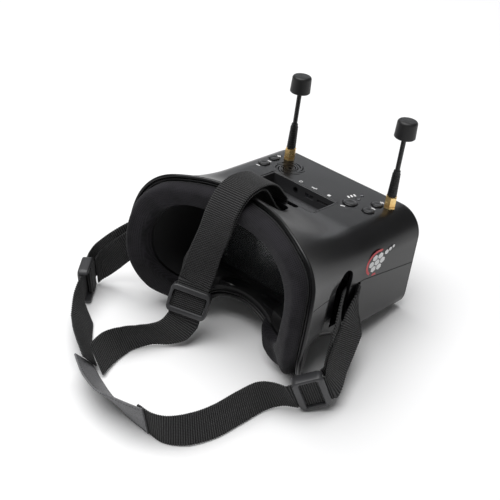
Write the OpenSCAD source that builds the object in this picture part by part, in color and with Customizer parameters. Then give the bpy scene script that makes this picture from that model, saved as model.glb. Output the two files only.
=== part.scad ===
/* [Housing] */
// Width of the housing in front of the face flare
housing_w = 151; // [148:1:154]
// Height of the housing at its front
housing_h = 84.8; // [84:0.1:86]
// Distance from the antenna line to the front face
front_y = 15.7; // [15:0.1:17]
// Distance behind the antenna line where the walls begin to flare
flare_y = 50; // [48:1:52]
// Wall thickness of the moulded shells
wall = 2.4; // [2.2:0.1:2.6]
// Radius of the two upper long edges
top_r = 21; // [19:1:22]
// Radius of the two lower long edges
bottom_r = 15; // [13:1:16]
// Nose-down lean of the housing when it lies on its cheek lobes, in degrees
lean = 10.53; // [10.4:0.01:10.6]

/* [Face pad] */
// Thickness of the foam pad
pad_t = 11; // [10:0.5:13]
// Thickness of the plate that carries the pad
face_plate_t = 2; // [1.6:0.1:2.4]
// Thickness of the hook-and-loop strip
strip_t = 1.5; // [1.2:0.1:1.8]

/* [Optics] */
// Width of the display module
display_w = 105.5; // [104:0.5:106]
// Height of the display module
display_h = 67.2; // [66:0.1:67.5]
// Width of the magnifying lens
lens_w = 118; // [114:1:119]
// Height of the magnifying lens
lens_h = 62; // [58:1:62]
// Distance of the lens behind the antenna line
lens_y = 61; // [60:0.5:62]

/* [Antennas] */
// Left antenna, distance from the middle plane
antenna_left_x = 46.4; // [46:0.1:48]
// Right antenna, distance from the middle plane
antenna_right_x = 53.6; // [52:0.1:54]
// Height of an antenna above the top of the housing
antenna_h = 71.2; // [68:0.1:74]
// Diameter of the radome cap
cap_d = 16; // [14:0.5:17]
// Height of the radome cap
cap_h = 14; // [12:0.5:15]
// Radius of the coaxial connector's thread, 1/4-36 UNS
thread_r = 3.175; // [3.175:0.001:3.175]
// Width across the flats of the coaxial nuts
nut_af = 8; // [8:0.1:8]

/* [Buttons] */
// Diameter of a small button
button_d = 8.6; // [8:0.1:9]
// Diameter of the power button
power_d = 10.6; // [10:0.1:11]
// Travel of a button
button_travel = 0.5; // [0.3:0.1:0.5]

/* [Straps] */
// Width of the elastic webbing
strap_w = 25; // [24:0.5:25.5]
// Thickness of the elastic webbing
strap_t = 1.5; // [1.3:0.1:1.6]

/* [Hidden] */

// The middle of the part's box on the surface it lies on, seen from the housing's front lower edge
origin_x = -10.4;
origin_y = -109.75;

lift = front_y * sin(lean) + housing_h * cos(lean);
half_w = housing_w / 2;
floor_inside = -housing_h + wall;
shell_front_y = front_y - wall;

steps = 2;
last = 18;
parting_index = 7;
ring_half = last * steps;
flare_rings = 6;

// ---------- frames ----------

// Housing frame to the part's frame: x to the wearer's right, y forward, z up, origin on the
// middle plane, on the antenna line, on the flat top
module in_housing() {
    translate([-origin_x, -origin_y, lift])
        rotate([-lean, 0, 0])
            children();
}

module in_rest() {
    translate([-origin_x, -origin_y, 0])
        children();
}

function to_rest(p) = [
    p[0],
    p[1] * cos(lean) + p[2] * sin(lean),
    -p[1] * sin(lean) + p[2] * cos(lean) + lift];

function dir_to_rest(v) = [
    v[0],
    v[1] * cos(lean) + v[2] * sin(lean),
    -v[1] * sin(lean) + v[2] * cos(lean)];

// ---------- curves ----------

function unit(v) = v / norm(v);
function lerp(a, b, t) = a + (b - a) * t;
function flip(p) = [-p[0], p[1], p[2]];
function spline(a, b, c, d, t) =
    0.5 * (2 * b + (c - a) * t + (2 * a - 5 * b + 4 * c - d) * t * t + (3 * b - a - 3 * c + d) * t * t * t);

// A half outline runs from the top middle down the right side to the bottom middle
function knot(pts, i) = i < 0 ? flip(pts[-i]) : i > last ? flip(pts[2 * last - i]) : pts[i];
function half_curve(pts) = concat(
    [for (i = [0:last - 1]) for (s = [0:steps - 1])
        spline(knot(pts, i - 1), knot(pts, i), knot(pts, i + 1), knot(pts, i + 2), s / steps)],
    [pts[last]]);

// A full ring starts at the bottom middle, climbs the left side and comes down the right side
function ring(pts) = let (h = half_curve(pts)) concat(
    [for (i = [ring_half:-1:1]) flip(h[i])],
    [for (i = [0:ring_half - 1]) h[i]]);

function at(r, i) = r[(i + len(r)) % len(r)];
function inward(r, i) = let (d = at(r, i + 1) - at(r, i - 1)) unit([d[2], 0, -d[0]]);
function inset(r, d) = [for (i = [0:len(r) - 1]) r[i] + d * inward(r, i)];
function moved(r, v) = [for (p = r) p + v];

// ---------- housing outlines ----------

// Height of the parting line between the shells
function parting_z(y) = -42 + 0.12 * (front_y - y);

// Knots of the straight part: flat top, round corner, side, round corner, flat bottom
function box_knots(y, w, zt, zb, rt, rb) = concat(
    [for (i = [0:2]) [(w - rt) * i / 3, y, zt]],
    [for (i = [0:3]) [w - rt + rt * sin(30 * i), y, zt - rt + rt * cos(30 * i)]],
    [[w, y, parting_z(y)]],
    [[w, y, (parting_z(y) + zb + rb) / 2]],
    [for (i = [0:3]) [w - rb + rb * cos(30 * i), y, zb + rb - rb * sin(30 * i)]],
    [for (i = [1:6]) [(w - rb) * (1 - i / 6), y, zb]]);

// Knots of the face rim: forehead, temple, cheek lobe and nose arch
rim_knots = [
    [0, -103, 18.5], [17, -104.5, 18.2], [33, -108, 17.3],
    [48, -113.5, 15.3], [64, -119, 10.8], [77, -121.5, 2], [85.3, -124.5, -10],
    [88.6, -127.8, -24.8], [89.4, -129.3, -42], [88.2, -128.5, -57], [84.5, -123.5, -74],
    [78.5, -114, -91], [70, -103, -102.1], [59, -98, -105.2], [47, -97, -104.2],
    [37.5, -96, -98.5], [31.5, -94, -90], [20, -91.5, -82], [0, -90, -78]];

// Knots of the opening inside the face pad
opening_knots = [
    [0, -104, -2.5], [14, -105, -2.8], [27, -107.5, -3.2],
    [39, -111, -4.5], [50, -115, -8], [59, -118.5, -14], [64.5, -121, -22],
    [67.5, -123, -31], [68, -124, -42], [66.5, -123, -53], [62.5, -119, -63],
    [56.5, -112, -71], [50, -104, -77], [44, -99, -80], [38, -96.5, -80],
    [32, -94.5, -78], [25, -92, -75], [14, -90, -72], [0, -89.5, -70.5]];

function flare_knots(t) = let (box = box_knots(-flare_y, half_w, 0, -housing_h, top_r, bottom_r))
    [for (k = [0:last]) let (w = t * t) [
        lerp(box[k][0], rim_knots[k][0], w),
        lerp(box[k][1], rim_knots[k][1], t),
        lerp(box[k][2], rim_knots[k][2], w)]];

function shell_rings() = concat(
    [ring(box_knots(shell_front_y, half_w, 0, -housing_h, top_r, bottom_r))],
    [for (j = [0:flare_rings]) ring(flare_knots(j / flare_rings))]);

shell_outer = shell_rings();
shell_inner = [for (r = shell_outer) inset(r, wall)];
rim_ring = ring(rim_knots);
opening_ring = ring(opening_knots);

// ---------- lofts ----------

function quad(a, b, c, d) = [[a, b, c], [a, c, d]];
function flat(lists) = [for (l = lists) for (e = l) e];

// A solid swept through sections that each hold the same number of points. wrap joins the last
// section to the first.
module loft(sections, wrap = false) {
    m = len(sections[0]);
    n = len(sections);
    spans = wrap ? n - 1 : n - 2;
    sides = flat([for (j = [0:spans]) for (i = [0:m - 1])
        let (k = (j + 1) % n, l = (i + 1) % m)
        quad(j * m + i, j * m + l, k * m + l, k * m + i)]);
    first_cap = [for (i = [1:m - 2]) [0, i + 1, i]];
    last_cap = [for (i = [1:m - 2]) [(n - 1) * m, (n - 1) * m + i, (n - 1) * m + i + 1]];
    polyhedron(points = flat(sections), faces = wrap ? sides : concat(first_cap, sides, last_cap));
}

// Part of a wall between an outer and an inner surface, from ring index a to b
module wall_between(outer, inner, a, b) {
    sections = [for (i = [a:b]) concat(
        [for (r = outer) at(r, i)],
        [for (j = [len(inner) - 1:-1:0]) at(inner[j], i)])];
    n = len(outer);
    m = 2 * n;
    count = len(sections);
    sides = flat([for (j = [0:count - 2]) for (i = [0:m - 1])
        let (l = (i + 1) % m)
        quad(j * m + i, (j + 1) * m + i, (j + 1) * m + l, j * m + l)]);
    first_cap = flat([for (i = [0:n - 2]) quad(i, i + 1, m - 2 - i, m - 1 - i)]);
    end = (count - 1) * m;
    last_cap = flat([for (i = [0:n - 2]) quad(end + i, end + m - 1 - i, end + m - 2 - i, end + i + 1)]);
    polyhedron(points = flat(sections), faces = concat(sides, first_cap, last_cap));
}

// A closed tube between an outer and an inner set of rings
module closed_wall(outer, inner) {
    sections = [for (i = [0:len(outer[0]) - 1]) concat(
        [for (r = outer) r[i]],
        [for (j = [len(inner) - 1:-1:0]) inner[j][i]])];
    m = len(sections[0]);
    n = len(sections);
    sides = flat([for (j = [0:n - 1]) for (i = [0:m - 1])
        let (k = (j + 1) % n, l = (i + 1) % m)
        quad(j * m + i, k * m + i, k * m + l, j * m + l)]);
    polyhedron(points = flat(sections), faces = sides);
}

left_part = ring_half - parting_index * steps;
right_part = ring_half + parting_index * steps;

// ---------- fixed places in the housing frame ----------

board_top = -8;
board_t = 1.6;
recess_x = [-38, 25.5];
recess_y = [-57.4, -28];
recess_floor = -12;
ledge_z = -6;
ledge_y = -41;
tray_t = 1.2;
jack_x = [-14, 0, 14];
jack_z = -5.6;
jack_bore_r = 1.8;
jack_bore_l = 11;

channel_at = [-54.6, -9.6];
band_at = [-52.6, -23.8];
menu_at = [45.5, -4.7];
record_at = [47.6, -18.8];
power_at = [31.5, -20.1];
button_spots = [channel_at, band_at, menu_at, record_at, power_at];
button_gap = 0.3;
pipe_spots = [[30.9, -9.3], [29.6, -2.3]];
pipe_r = 1.4;
grille_at = [-34.7, -12.7];
grille_r = 12.5;

top_slot_x = [-22.5, 13.5];
front_slot_y = [-63.4, -58.9];
rear_slot_y = [-80, -69.5];
side_slot_z = [-62.5, -34.2];
side_front_slot_y = [-59.5, -54.6];
side_rear_slot_y = [-84, -68];
arch_r = (side_rear_slot_y[1] - side_rear_slot_y[0]) / 2;
arch_z = -26;

boss_r = 3.4;
screw_r = 1.25;
screw_spots = [[66, 5], [-66, 5], [64, -43], [-64, -43]];
screw_head_r = 2.3;
screw_head_t = 1.6;
screw_sink = 2.2;

module top_round_hole(spot, r) {
    translate([spot[0], spot[1], -wall - 4])
        cylinder(r = r, h = wall + 8, $fn = 48);
}

// Three rings of slots, each ring broken by four spokes
module grille_slots() {
    for (k = [1:3])
        difference() {
            translate([grille_at[0], grille_at[1], -wall - 1])
                cylinder(r = grille_r * k / 3, h = wall + 2, $fn = 64);
            translate([grille_at[0], grille_at[1], -wall - 2])
                cylinder(r = grille_r * k / 3 - 1.3, h = wall + 4, $fn = 64);
            for (a = [45, 135])
                translate([grille_at[0], grille_at[1], 0])
                    rotate([0, 0, a])
                        cube([2 * grille_r + 2, 2.2, 3 * wall], center = true);
        }
}

module block(x, y, z) {
    translate([x[0], y[0], z[0]])
        cube([x[1] - x[0], y[1] - y[0], z[1] - z[0]]);
}

// ---------- shells ----------

module upper_shell() {
    color([0.07, 0.07, 0.075])
    in_housing()
        difference() {
            union() {
                wall_between(shell_outer, shell_inner, left_part, right_part);
                for (s = screw_spots)
                    translate([s[0], s[1], parting_z(s[1]) + 0.6])
                        cylinder(r = boss_r, h = -parting_z(s[1]) - 0.6 - wall - 2.5, $fn = 32);
            }
            block(recess_x, recess_y, [-wall - 1, 2]);
            block(top_slot_x, front_slot_y, [-wall - 2, 6]);
            block(top_slot_x, rear_slot_y, [-wall - 2, 12]);
            for (s = button_spots)
                top_round_hole(s, (s == power_at ? power_d : button_d) / 2 + button_gap);
            for (s = pipe_spots)
                top_round_hole(s, pipe_r + 0.05);
            for (x = [-antenna_left_x, antenna_right_x])
                top_round_hole([x, 0], thread_r + 0.1);
            grille_slots();
            for (s = screw_spots)
                translate([s[0], s[1], parting_z(s[1]) - 1])
                    cylinder(r = screw_r, h = 9, $fn = 24);
            for (side = [-1, 1])
                translate([side * 80, (side_rear_slot_y[0] + side_rear_slot_y[1]) / 2, arch_z])
                    rotate([0, 90, 0])
                        cylinder(r = arch_r, h = 24, center = true, $fn = 48);
        }
}

module lower_shell() {
    color([0.08, 0.08, 0.085])
    in_housing()
        difference() {
            union() {
                wall_between(shell_outer, shell_inner, right_part, left_part + 2 * ring_half);
                for (s = screw_spots)
                    translate([s[0], s[1], floor_inside - 1])
                        cylinder(r = boss_r, h = parting_z(s[1]) - floor_inside + 0.8, $fn = 32);
            }
            for (s = screw_spots) {
                translate([s[0], s[1], -housing_h - 1])
                    cylinder(r = screw_r + 0.1, h = housing_h, $fn = 24);
                translate([s[0], s[1], -housing_h - 1])
                    cylinder(r = screw_head_r + 0.3, h = screw_sink + 1, $fn = 32);
            }
            for (side = [-1, 1]) {
                translate([side * 76, (side_front_slot_y[0] + side_front_slot_y[1]) / 2,
                           (side_slot_z[0] + side_slot_z[1]) / 2])
                    cube([14, side_front_slot_y[1] - side_front_slot_y[0],
                          side_slot_z[1] - side_slot_z[0]], center = true);
                translate([side * 80, (side_rear_slot_y[0] + side_rear_slot_y[1]) / 2,
                           (side_slot_z[0] + arch_z) / 2])
                    cube([24, side_rear_slot_y[1] - side_rear_slot_y[0], arch_z - side_slot_z[0]],
                         center = true);
            }
        }
}

cover_screw_spots = [[-66, -12], [66, -12], [-66, -73], [66, -73]];

module front_outline(inset_by) {
    w = half_w - inset_by;
    low = -housing_h + inset_by;
    for (side = [-1, 1]) {
        translate([side * (w - top_r), -inset_by - top_r])
            circle(r = top_r, $fn = 64);
        translate([side * (w - bottom_r), low + bottom_r])
            circle(r = bottom_r, $fn = 64);
    }
    translate([-w, low + bottom_r])
        square([2 * w, -inset_by - top_r - low - bottom_r]);
    translate([-w + top_r, -housing_h / 2])
        square([2 * (w - top_r), housing_h / 2 - inset_by]);
    translate([-w + bottom_r, low])
        square([2 * (w - bottom_r), housing_h / 2]);
}

module front_cover() {
    color([0.07, 0.07, 0.075])
    in_housing()
        difference() {
            translate([0, front_y, 0])
                rotate([90, 0, 0])
                    linear_extrude(height = wall)
                        front_outline(0);
            for (s = cover_screw_spots) {
                translate([s[0], front_y + 1, s[1]])
                    rotate([90, 0, 0])
                        cylinder(r = screw_r + 0.1, h = wall + 3, $fn = 24);
                translate([s[0], front_y + 1, s[1]])
                    rotate([90, 0, 0])
                        cylinder(r = screw_head_r + 0.2, h = 2.2, $fn = 32);
            }
        }
}

// ---------- face side ----------

// The plate starts well inside the shell wall, on the surface between the rim and the opening
pad_outer = inset(rim_ring, 0.6);
plate_outer = [for (i = [0:len(rim_ring) - 1]) let (band = norm(opening_ring[i] - pad_outer[i]))
    lerp(pad_outer[i], opening_ring[i], max(0.2, 6.2 / band))];

module face_plate() {
    color([0.06, 0.06, 0.065])
    in_housing()
        closed_wall(
            [moved(plate_outer, [0, 0.5 + face_plate_t, 0]), moved(plate_outer, [0, 0.5, 0])],
            [moved(opening_ring, [0, 0.5 + face_plate_t, 0]), moved(opening_ring, [0, 0.5, 0])]);
}

hood_t = 1.6;
hood_front_y = -lens_y - 3.4;
hood_mouth = ring(box_knots(hood_front_y, lens_w / 2 + 3, -14, -79.5, 10, 10));

module light_hood() {
    color([0.03, 0.03, 0.03])
    in_housing()
        closed_wall(
            [inset(hood_mouth, -hood_t), moved(inset(opening_ring, -hood_t), [0, 3.2, 0])],
            [hood_mouth, moved(inset(opening_ring, 0.1), [0, 3.2, 0])]);
}

// The pad is a horseshoe that stops at the inner side of each cheek lobe
pad_end = 16;
pad_first = ring_half - pad_end * steps;
pad_last = ring_half + pad_end * steps;

// A band across the pad's width: each corner is [share of the width, height off the plate]
function pad_sections(corners) = [for (i = [pad_first:pad_last]) [for (c = corners)
    lerp(pad_outer[i], opening_ring[i], c[0]) + [0, -c[1], 0]]];

module face_foam() {
    low = strip_t + 0.4;
    high = strip_t + pad_t;
    color([0.05, 0.045, 0.06])
    in_housing()
        loft(pad_sections([
            [1, low], [1, high - 4], [0.86, high], [0.5, high], [0.2, high - 4], [0.03, low]]));
}

module hook_loop_strip() {
    color([0.35, 0.35, 0.37])
    in_housing()
        loft(pad_sections([[0.6, 0], [0.6, strip_t], [0.16, strip_t], [0.16, 0]]));
}

// ---------- optics ----------

lens_mid_z = -46.5;
screw_z = -21.5;

module upright_box(w, h, t, y, z) {
    translate([-w / 2, y, z - h / 2])
        cube([w, t, h]);
}

module upright_box_at(x, h, w, y, z) {
    translate([x - w / 2, y, z - h / 2])
        cube([w, 6, h]);
}

module lens_frame() {
    color([0.05, 0.05, 0.05])
    in_housing()
        difference() {
            upright_box(140, 70, 3, -lens_y - 3, lens_mid_z);
            upright_box(lens_w - 5, lens_h - 5, 10, -lens_y - 6, lens_mid_z);
            upright_box(lens_w + 0.2, lens_h + 0.2, 4, -lens_y - 1.6, lens_mid_z);
            for (side = [-1, 1])
                translate([side * 65.5, -lens_y + 1, lens_mid_z + screw_z])
                    rotate([90, 0, 0])
                        cylinder(r = 1.1, h = 6, $fn = 24);
            for (side = [-1, 1])
                upright_box_at(side * 69, 16, 14, -lens_y - 4, -82);
            for (side = [-1, 1])
                upright_box_at(side * 70, 30, 8, -lens_y - 4, -48);
        }
}

module lens_screws() {
    color([0.55, 0.55, 0.57])
    in_housing()
        for (side = [-1, 1])
            translate([side * 65.5, -lens_y + 1.4, lens_mid_z + screw_z])
                rotate([90, 0, 0]) {
                    cylinder(r = 1.0, h = 4.2, $fn = 24);
                    cylinder(r = 2.0, h = 1.3, $fn = 24);
                }
}

module fresnel_lens() {
    color([0.8, 0.85, 0.9, 0.4])
    in_housing()
        upright_box(lens_w, lens_h, 1.6, -lens_y - 1.6, lens_mid_z);
}

display_y = 1;
display_t = 3.4;
display_mid_z = -46.9;

module display_frame() {
    color([0.12, 0.12, 0.13])
    in_housing()
        difference() {
            upright_box(display_w + 9, display_h + 3, 5.5, display_y - 1.5, display_mid_z);
            upright_box(display_w - 8, display_h - 8, 6, display_y - 3, display_mid_z);
            upright_box(display_w + 0.2, display_h + 0.2, 8, display_y, display_mid_z);
        }
}

module display_panel() {
    color([0.02, 0.02, 0.03])
    in_housing()
        upright_box(display_w, display_h, display_t, display_y, display_mid_z);
}

module main_board() {
    color([0.05, 0.3, 0.15])
    in_housing()
        difference() {
            block([-61, 61], [-27.5, 12.5], [board_top - board_t, board_top]);
            for (x = [-antenna_left_x, antenna_right_x])
                translate([x, 0, board_top - 3])
                    cylinder(r = 0.8, h = 6, $fn = 24);
        }
}

module receiver_modules() {
    color([0.75, 0.75, 0.77])
    in_housing()
        for (x = [-40, 12])
            block([x, x + 28], [5.6, 9.6], [-38, -15]);
}

module battery_pack() {
    color([0.35, 0.4, 0.45])
    in_housing()
        block([-36, 34], [5.6, 12.6], [-80, -42]);
}

module speaker() {
    color([0.15, 0.15, 0.16])
    in_housing()
        translate([grille_at[0], grille_at[1], board_top]) {
            cylinder(r = 12, h = 3, $fn = 64);
            cylinder(r = 9.5, h = 4.6, $fn = 64);
        }
}

switch_h = 3.1;

module tact_switches() {
    color([0.2, 0.2, 0.2])
    in_housing()
        for (s = button_spots)
            translate([s[0], s[1], board_top]) {
                translate([-3, -3, 0])
                    cube([6, 6, 2.6]);
                cylinder(r = 1.7, h = switch_h, $fn = 24);
            }
}

module light_pipes() {
    color([0.85, 0.9, 0.9, 0.5])
    in_housing()
        for (s = pipe_spots)
            translate([s[0], s[1], board_top])
                cylinder(r = pipe_r, h = -board_top + 0.3, $fn = 32);
}

// ---------- ports ----------

module port_tray() {
    out = 0.9;
    color([0.07, 0.07, 0.075])
    in_housing()
        difference() {
            block([recess_x[0] + 0.1, recess_x[1] - 0.1], [recess_y[0] + 0.1, recess_y[1] - 0.1],
                  [recess_floor - tray_t, -0.2]);
            block([recess_x[0] + tray_t, recess_x[1] - tray_t], [ledge_y, recess_y[1] - tray_t],
                  [recess_floor, 1]);
            block([recess_x[0] + tray_t, recess_x[1] - tray_t], [recess_y[0] + tray_t, ledge_y + 1],
                  [ledge_z, 1]);
            translate([jack_x[0], recess_y[1] - 4, jack_z])
                rotate([-90, 0, 0])
                    cylinder(r = jack_bore_r + 0.7, h = 8, $fn = 32);
            block([jack_x[1] - 4.2, jack_x[1] + 4.2], [recess_y[1] - 4, recess_y[1] + 1],
                  [jack_z - 2, jack_z + 2]);
            block([jack_x[2] - 6.2, jack_x[2] + 6.2], [recess_y[1] - 4, recess_y[1] + 1],
                  [jack_z - 0.9, jack_z + 0.9]);
            block([recess_x[0] - out, recess_x[1] + out], [recess_y[0] - out, ledge_y - 2],
                  [recess_floor - 3, ledge_z - tray_t]);
        }
}

module av_jack() {
    color([0.1, 0.1, 0.1])
    in_housing()
        difference() {
            union() {
                block([jack_x[0] - 3.1, jack_x[0] + 3.1], [recess_y[1] + 0.1, recess_y[1] + 12.5],
                      [board_top, -wall - 0.1]);
                translate([jack_x[0], recess_y[1] + 1, jack_z])
                    rotate([90, 0, 0])
                        cylinder(r = jack_bore_r + 0.5, h = 2.1, $fn = 32);
            }
            translate([jack_x[0], recess_y[1] - 1.5, jack_z])
                rotate([-90, 0, 0])
                    cylinder(r = jack_bore_r, h = jack_bore_l + 0.4, $fn = 32);
        }
}

module usb_port() {
    color([0.7, 0.7, 0.72])
    in_housing()
        difference() {
            block([jack_x[1] - 4, jack_x[1] + 4], [recess_y[1] - 0.8, recess_y[1] + 5],
                  [jack_z - 1.8, jack_z + 1.8]);
            block([jack_x[1] - 3.6, jack_x[1] + 3.6], [recess_y[1] - 2, recess_y[1] + 4.4],
                  [jack_z - 1.4, jack_z + 1.4]);
        }
}

module card_slot() {
    color([0.72, 0.72, 0.74])
    in_housing()
        difference() {
            block([jack_x[2] - 7, jack_x[2] + 7], [recess_y[1] + 0.1, recess_y[1] + 15],
                  [board_top, jack_z + 1.5]);
            block([jack_x[2] - 5.6, jack_x[2] + 5.6], [recess_y[1] - 1, recess_y[1] + 13.5],
                  [jack_z - 0.5, jack_z + 0.5]);
        }
}

// ---------- fasteners ----------

module pan_screw(length) {
    translate([0, 0, -0.3])
        cylinder(r = screw_r, h = length + 0.3, $fn = 24);
    difference() {
        translate([0, 0, -screw_head_t])
            cylinder(r = screw_head_r, h = screw_head_t, $fn = 32);
        translate([0, 0, -screw_head_t])
            cube([2.6, 0.7, 1.2], center = true);
        translate([0, 0, -screw_head_t])
            cube([0.7, 2.6, 1.2], center = true);
    }
}

module shell_screws() {
    color([0.5, 0.5, 0.52])
    in_housing()
        for (s = screw_spots)
            translate([s[0], s[1], -housing_h + screw_sink])
                pan_screw(parting_z(s[1]) + 8 + housing_h - screw_sink);
}

module cover_screws() {
    color([0.5, 0.5, 0.52])
    in_housing()
        for (s = cover_screw_spots)
            translate([s[0], front_y - 1.2, s[1]])
                rotate([90, 0, 0])
                    pan_screw(6);
}

// ---------- buttons ----------

// A released button's foot stands clear of its switch by the travel and a little more
button_foot = board_top + switch_h + button_travel + 0.3;

module button(spot, d) {
    color([0.04, 0.04, 0.045])
    in_housing()
        translate([spot[0], spot[1], 0]) {
            translate([0, 0, button_foot + 0.2])
                cylinder(r = d / 2, h = 0.2 - button_foot, $fn = 48);
            translate([0, 0, 0.4])
                cylinder(r1 = d / 2, r2 = d / 2 - 0.7, h = 0.6, $fn = 48);
            translate([0, 0, button_foot])
                cylinder(r = d / 2 + 0.7, h = 0.7, $fn = 48);
        }
}

module channel_button() { button(channel_at, button_d); }
module band_button() { button(band_at, button_d); }
module menu_button() { button(menu_at, button_d); }
module record_button() { button(record_at, button_d); }
module power_button() { button(power_at, power_d); }

// ---------- antennas ----------

jack_top = 8;
ferrule_r = 2.25;
nut_foot = 2.6;
nut_top = 9.6;
nut_flange = 8.4;
sleeve_foot = 10;
sleeve_top = 31;
sleeve_r = 3.3;
stem_r = 1.8;
collar_r = 2.95;

module at_antenna(x) {
    in_housing()
        translate([x, 0, 0])
            children();
}

module hexagon(af, h) {
    cylinder(r = af / 2 / cos(30), h = h, $fn = 6);
}

module jack(x) {
    color([0.83, 0.66, 0.3])
    at_antenna(x)
        difference() {
            union() {
                translate([0, 0, board_top])
                    cylinder(r = thread_r, h = jack_top - board_top, $fn = 48);
                translate([0, 0, board_top])
                    cylinder(r = 4.4, h = 2.2, $fn = 48);
            }
            translate([0, 0, 5])
                cylinder(r = ferrule_r + 0.08, h = 4, $fn = 48);
            translate([0, 0, 1])
                cylinder(r = 0.65, h = 5, $fn = 24);
        }
}

module jack_left() { jack(-antenna_left_x); }
module jack_right() { jack(antenna_right_x); }

module jack_nuts() {
    color([0.83, 0.66, 0.3])
    for (x = [-antenna_left_x, antenna_right_x])
        at_antenna(x)
            difference() {
                translate([0, 0, 0.2])
                    hexagon(nut_af, 2);
                translate([0, 0, -1])
                    cylinder(r = thread_r + 0.05, h = 4, $fn = 48);
            }
}

module antenna_nut(x) {
    color([0.85, 0.68, 0.32])
    at_antenna(x)
        difference() {
            translate([0, 0, nut_foot])
                hexagon(nut_af, nut_top - nut_foot);
            translate([0, 0, nut_foot - 1])
                cylinder(r = thread_r + 0.07, h = nut_flange - nut_foot + 1, $fn = 48);
            translate([0, 0, nut_flange - 1])
                cylinder(r = ferrule_r + 0.1, h = 4, $fn = 48);
        }
}

module antenna_nut_left() { antenna_nut(-antenna_left_x); }
module antenna_nut_right() { antenna_nut(antenna_right_x); }

module ferrule(x) {
    color([0.85, 0.68, 0.32])
    at_antenna(x) {
        translate([0, 0, 5.3])
            cylinder(r = ferrule_r, h = sleeve_foot + 4 - 5.3, $fn = 48);
        translate([0, 0, jack_top + 0.05])
            cylinder(r = collar_r, h = nut_flange - jack_top - 0.1, $fn = 48);
    }
}

module ferrule_left() { ferrule(-antenna_left_x); }
module ferrule_right() { ferrule(antenna_right_x); }

// A ribbed strain sleeve over the coaxial stem
module sleeve(x) {
    rib_pitch = 1.9;
    color([0.06, 0.06, 0.065])
    at_antenna(x)
        difference() {
            union() {
                translate([0, 0, sleeve_foot])
                    cylinder(r1 = sleeve_r, r2 = sleeve_r - 0.7, h = sleeve_top - sleeve_foot, $fn = 48);
                for (k = [0:9])
                    translate([0, 0, sleeve_foot + 0.4 + k * rib_pitch])
                        cylinder(r = sleeve_r + 0.35 - 0.06 * k, h = 1, $fn = 48);
            }
            translate([0, 0, sleeve_foot - 1])
                cylinder(r = ferrule_r, h = 5, $fn = 48);
            translate([0, 0, sleeve_foot])
                cylinder(r = stem_r, h = sleeve_top, $fn = 48);
        }
}

module sleeve_left() { sleeve(-antenna_left_x); }
module sleeve_right() { sleeve(antenna_right_x); }

module stem(x) {
    color([0.05, 0.05, 0.05])
    at_antenna(x)
        translate([0, 0, sleeve_foot + 4])
            cylinder(r = stem_r, h = antenna_h - cap_h + 2 - sleeve_foot - 4, $fn = 32);
}

module stem_left() { stem(-antenna_left_x); }
module stem_right() { stem(antenna_right_x); }

// Profile of the radome: a cup with rounded upper edges and a bore for the stem
module cap(x) {
    edge = 2.2;
    cap_foot = antenna_h - cap_h;
    color([0.12, 0.12, 0.13])
    at_antenna(x)
        difference() {
            rotate_extrude($fn = 64)
                polygon(concat(
                    [[0, cap_foot], [cap_d / 2 - 0.8, cap_foot], [cap_d / 2, cap_foot + 0.8]],
                    [for (a = [0:15:90]) [
                        cap_d / 2 - 0.4 - edge + edge * cos(a), antenna_h - edge - 0.2 + edge * sin(a)]],
                    [[0, antenna_h]]));
            translate([0, 0, cap_foot - 1])
                cylinder(r = stem_r, h = 3, $fn = 32);
        }
}

module cap_left() { cap(-antenna_left_x); }
module cap_right() { cap(antenna_right_x); }

// ---------- straps ----------

// A station is [middle of the webbing, direction across it], in the rest frame
function tangent(s, i) = unit(s[min(i + 1, len(s) - 1)][0] - s[max(i - 1, 0)][0]);
function normal(s, i) = unit(cross(tangent(s, i), s[i][1]));

function rib_at(s, i) = s[max(0, min(len(s) - 1, i))];
function smooth_stations(s, k) = concat(
    [for (i = [0:len(s) - 2]) for (j = [0:k - 1]) [
        spline(rib_at(s, i - 1)[0], s[i][0], s[i + 1][0], rib_at(s, i + 2)[0], j / k),
        unit(lerp(unit(s[i][1]), unit(s[i + 1][1]), j / k))]],
    [s[len(s) - 1]]);

function held(s) = let (a = s[0][0], b = s[1][0], v = square_to(s)) [
    [lerp(a, b, 0.04), v], [lerp(a, b, 0.5), v], [lerp(a, b, 0.96), v]];
function square_to(s) = let (y = unit(s[1][0] - s[0][0]), a = s[0][1]) unit(a - (a * y) * y);
function run(before, straight, after) = concat(
    smooth_stations(concat(before, [straight[0]]), 3),
    held(straight),
    smooth_stations(concat([straight[1]], after), 3));

module webbing(s, w, t) {
    loft([for (i = [0:len(s) - 1])
        let (c = s[i][0], a = unit(s[i][1]) * w / 2, n = normal(s, i) * t / 2)
        [c - a + n, c + a + n, c + a - n, c - a - n]]);
}

// Housing frame station
function hs(p, a) = [to_rest(p), dir_to_rest(a)];

side_mid_z = -48.3;

// Right strap: rear patch, buckle, outer run, round the bar of the side slot, inner run
right_rear = [
    [[20, -226.5, 13.2], [0.03, -0.18, 0.98]],
    [[32, -227.2, 12.9], [0.03, -0.05, 1]],
    [[43, -223.5, 12.8], [-0.02, 0.1, 1]],
    [[53.5, -212.5, 12.8], [-0.2, 0.2, 0.96]],
    [[60.5, -196, 12.6], [-0.3, 0.12, 0.94]],
    [[64, -175, 12.6], [-0.33, 0.05, 0.94]],
    [[67.5, -158, 12.8], [-0.3, -0.05, 0.95]],
    [[75, -149, 14], [-0.25, -0.25, 0.94]]];
right_straight = [
    [[84.8, -144.5, 14.4], [-0.2, -0.34, 0.92]],
    [[104.2, -124.5, 22.8], [-0.2, -0.34, 0.92]]];
right_outer = [
    [[105.2, -118.5, 26], [-0.2, -0.5, 0.84]],
    [[100.5, -109.5, 29.5], [-0.2, -0.62, 0.76]],
    [[93.5, -97, 33], [-0.22, -0.72, 0.66]],
    [[87.6, -84, 37.2], [-0.22, -0.74, 0.63]],
    [[82.4, -74, 42], [-0.1, -0.5, 0.86]],
    [[79.7, -67.5, 47], [0, -0.15, 0.98]]];
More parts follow.
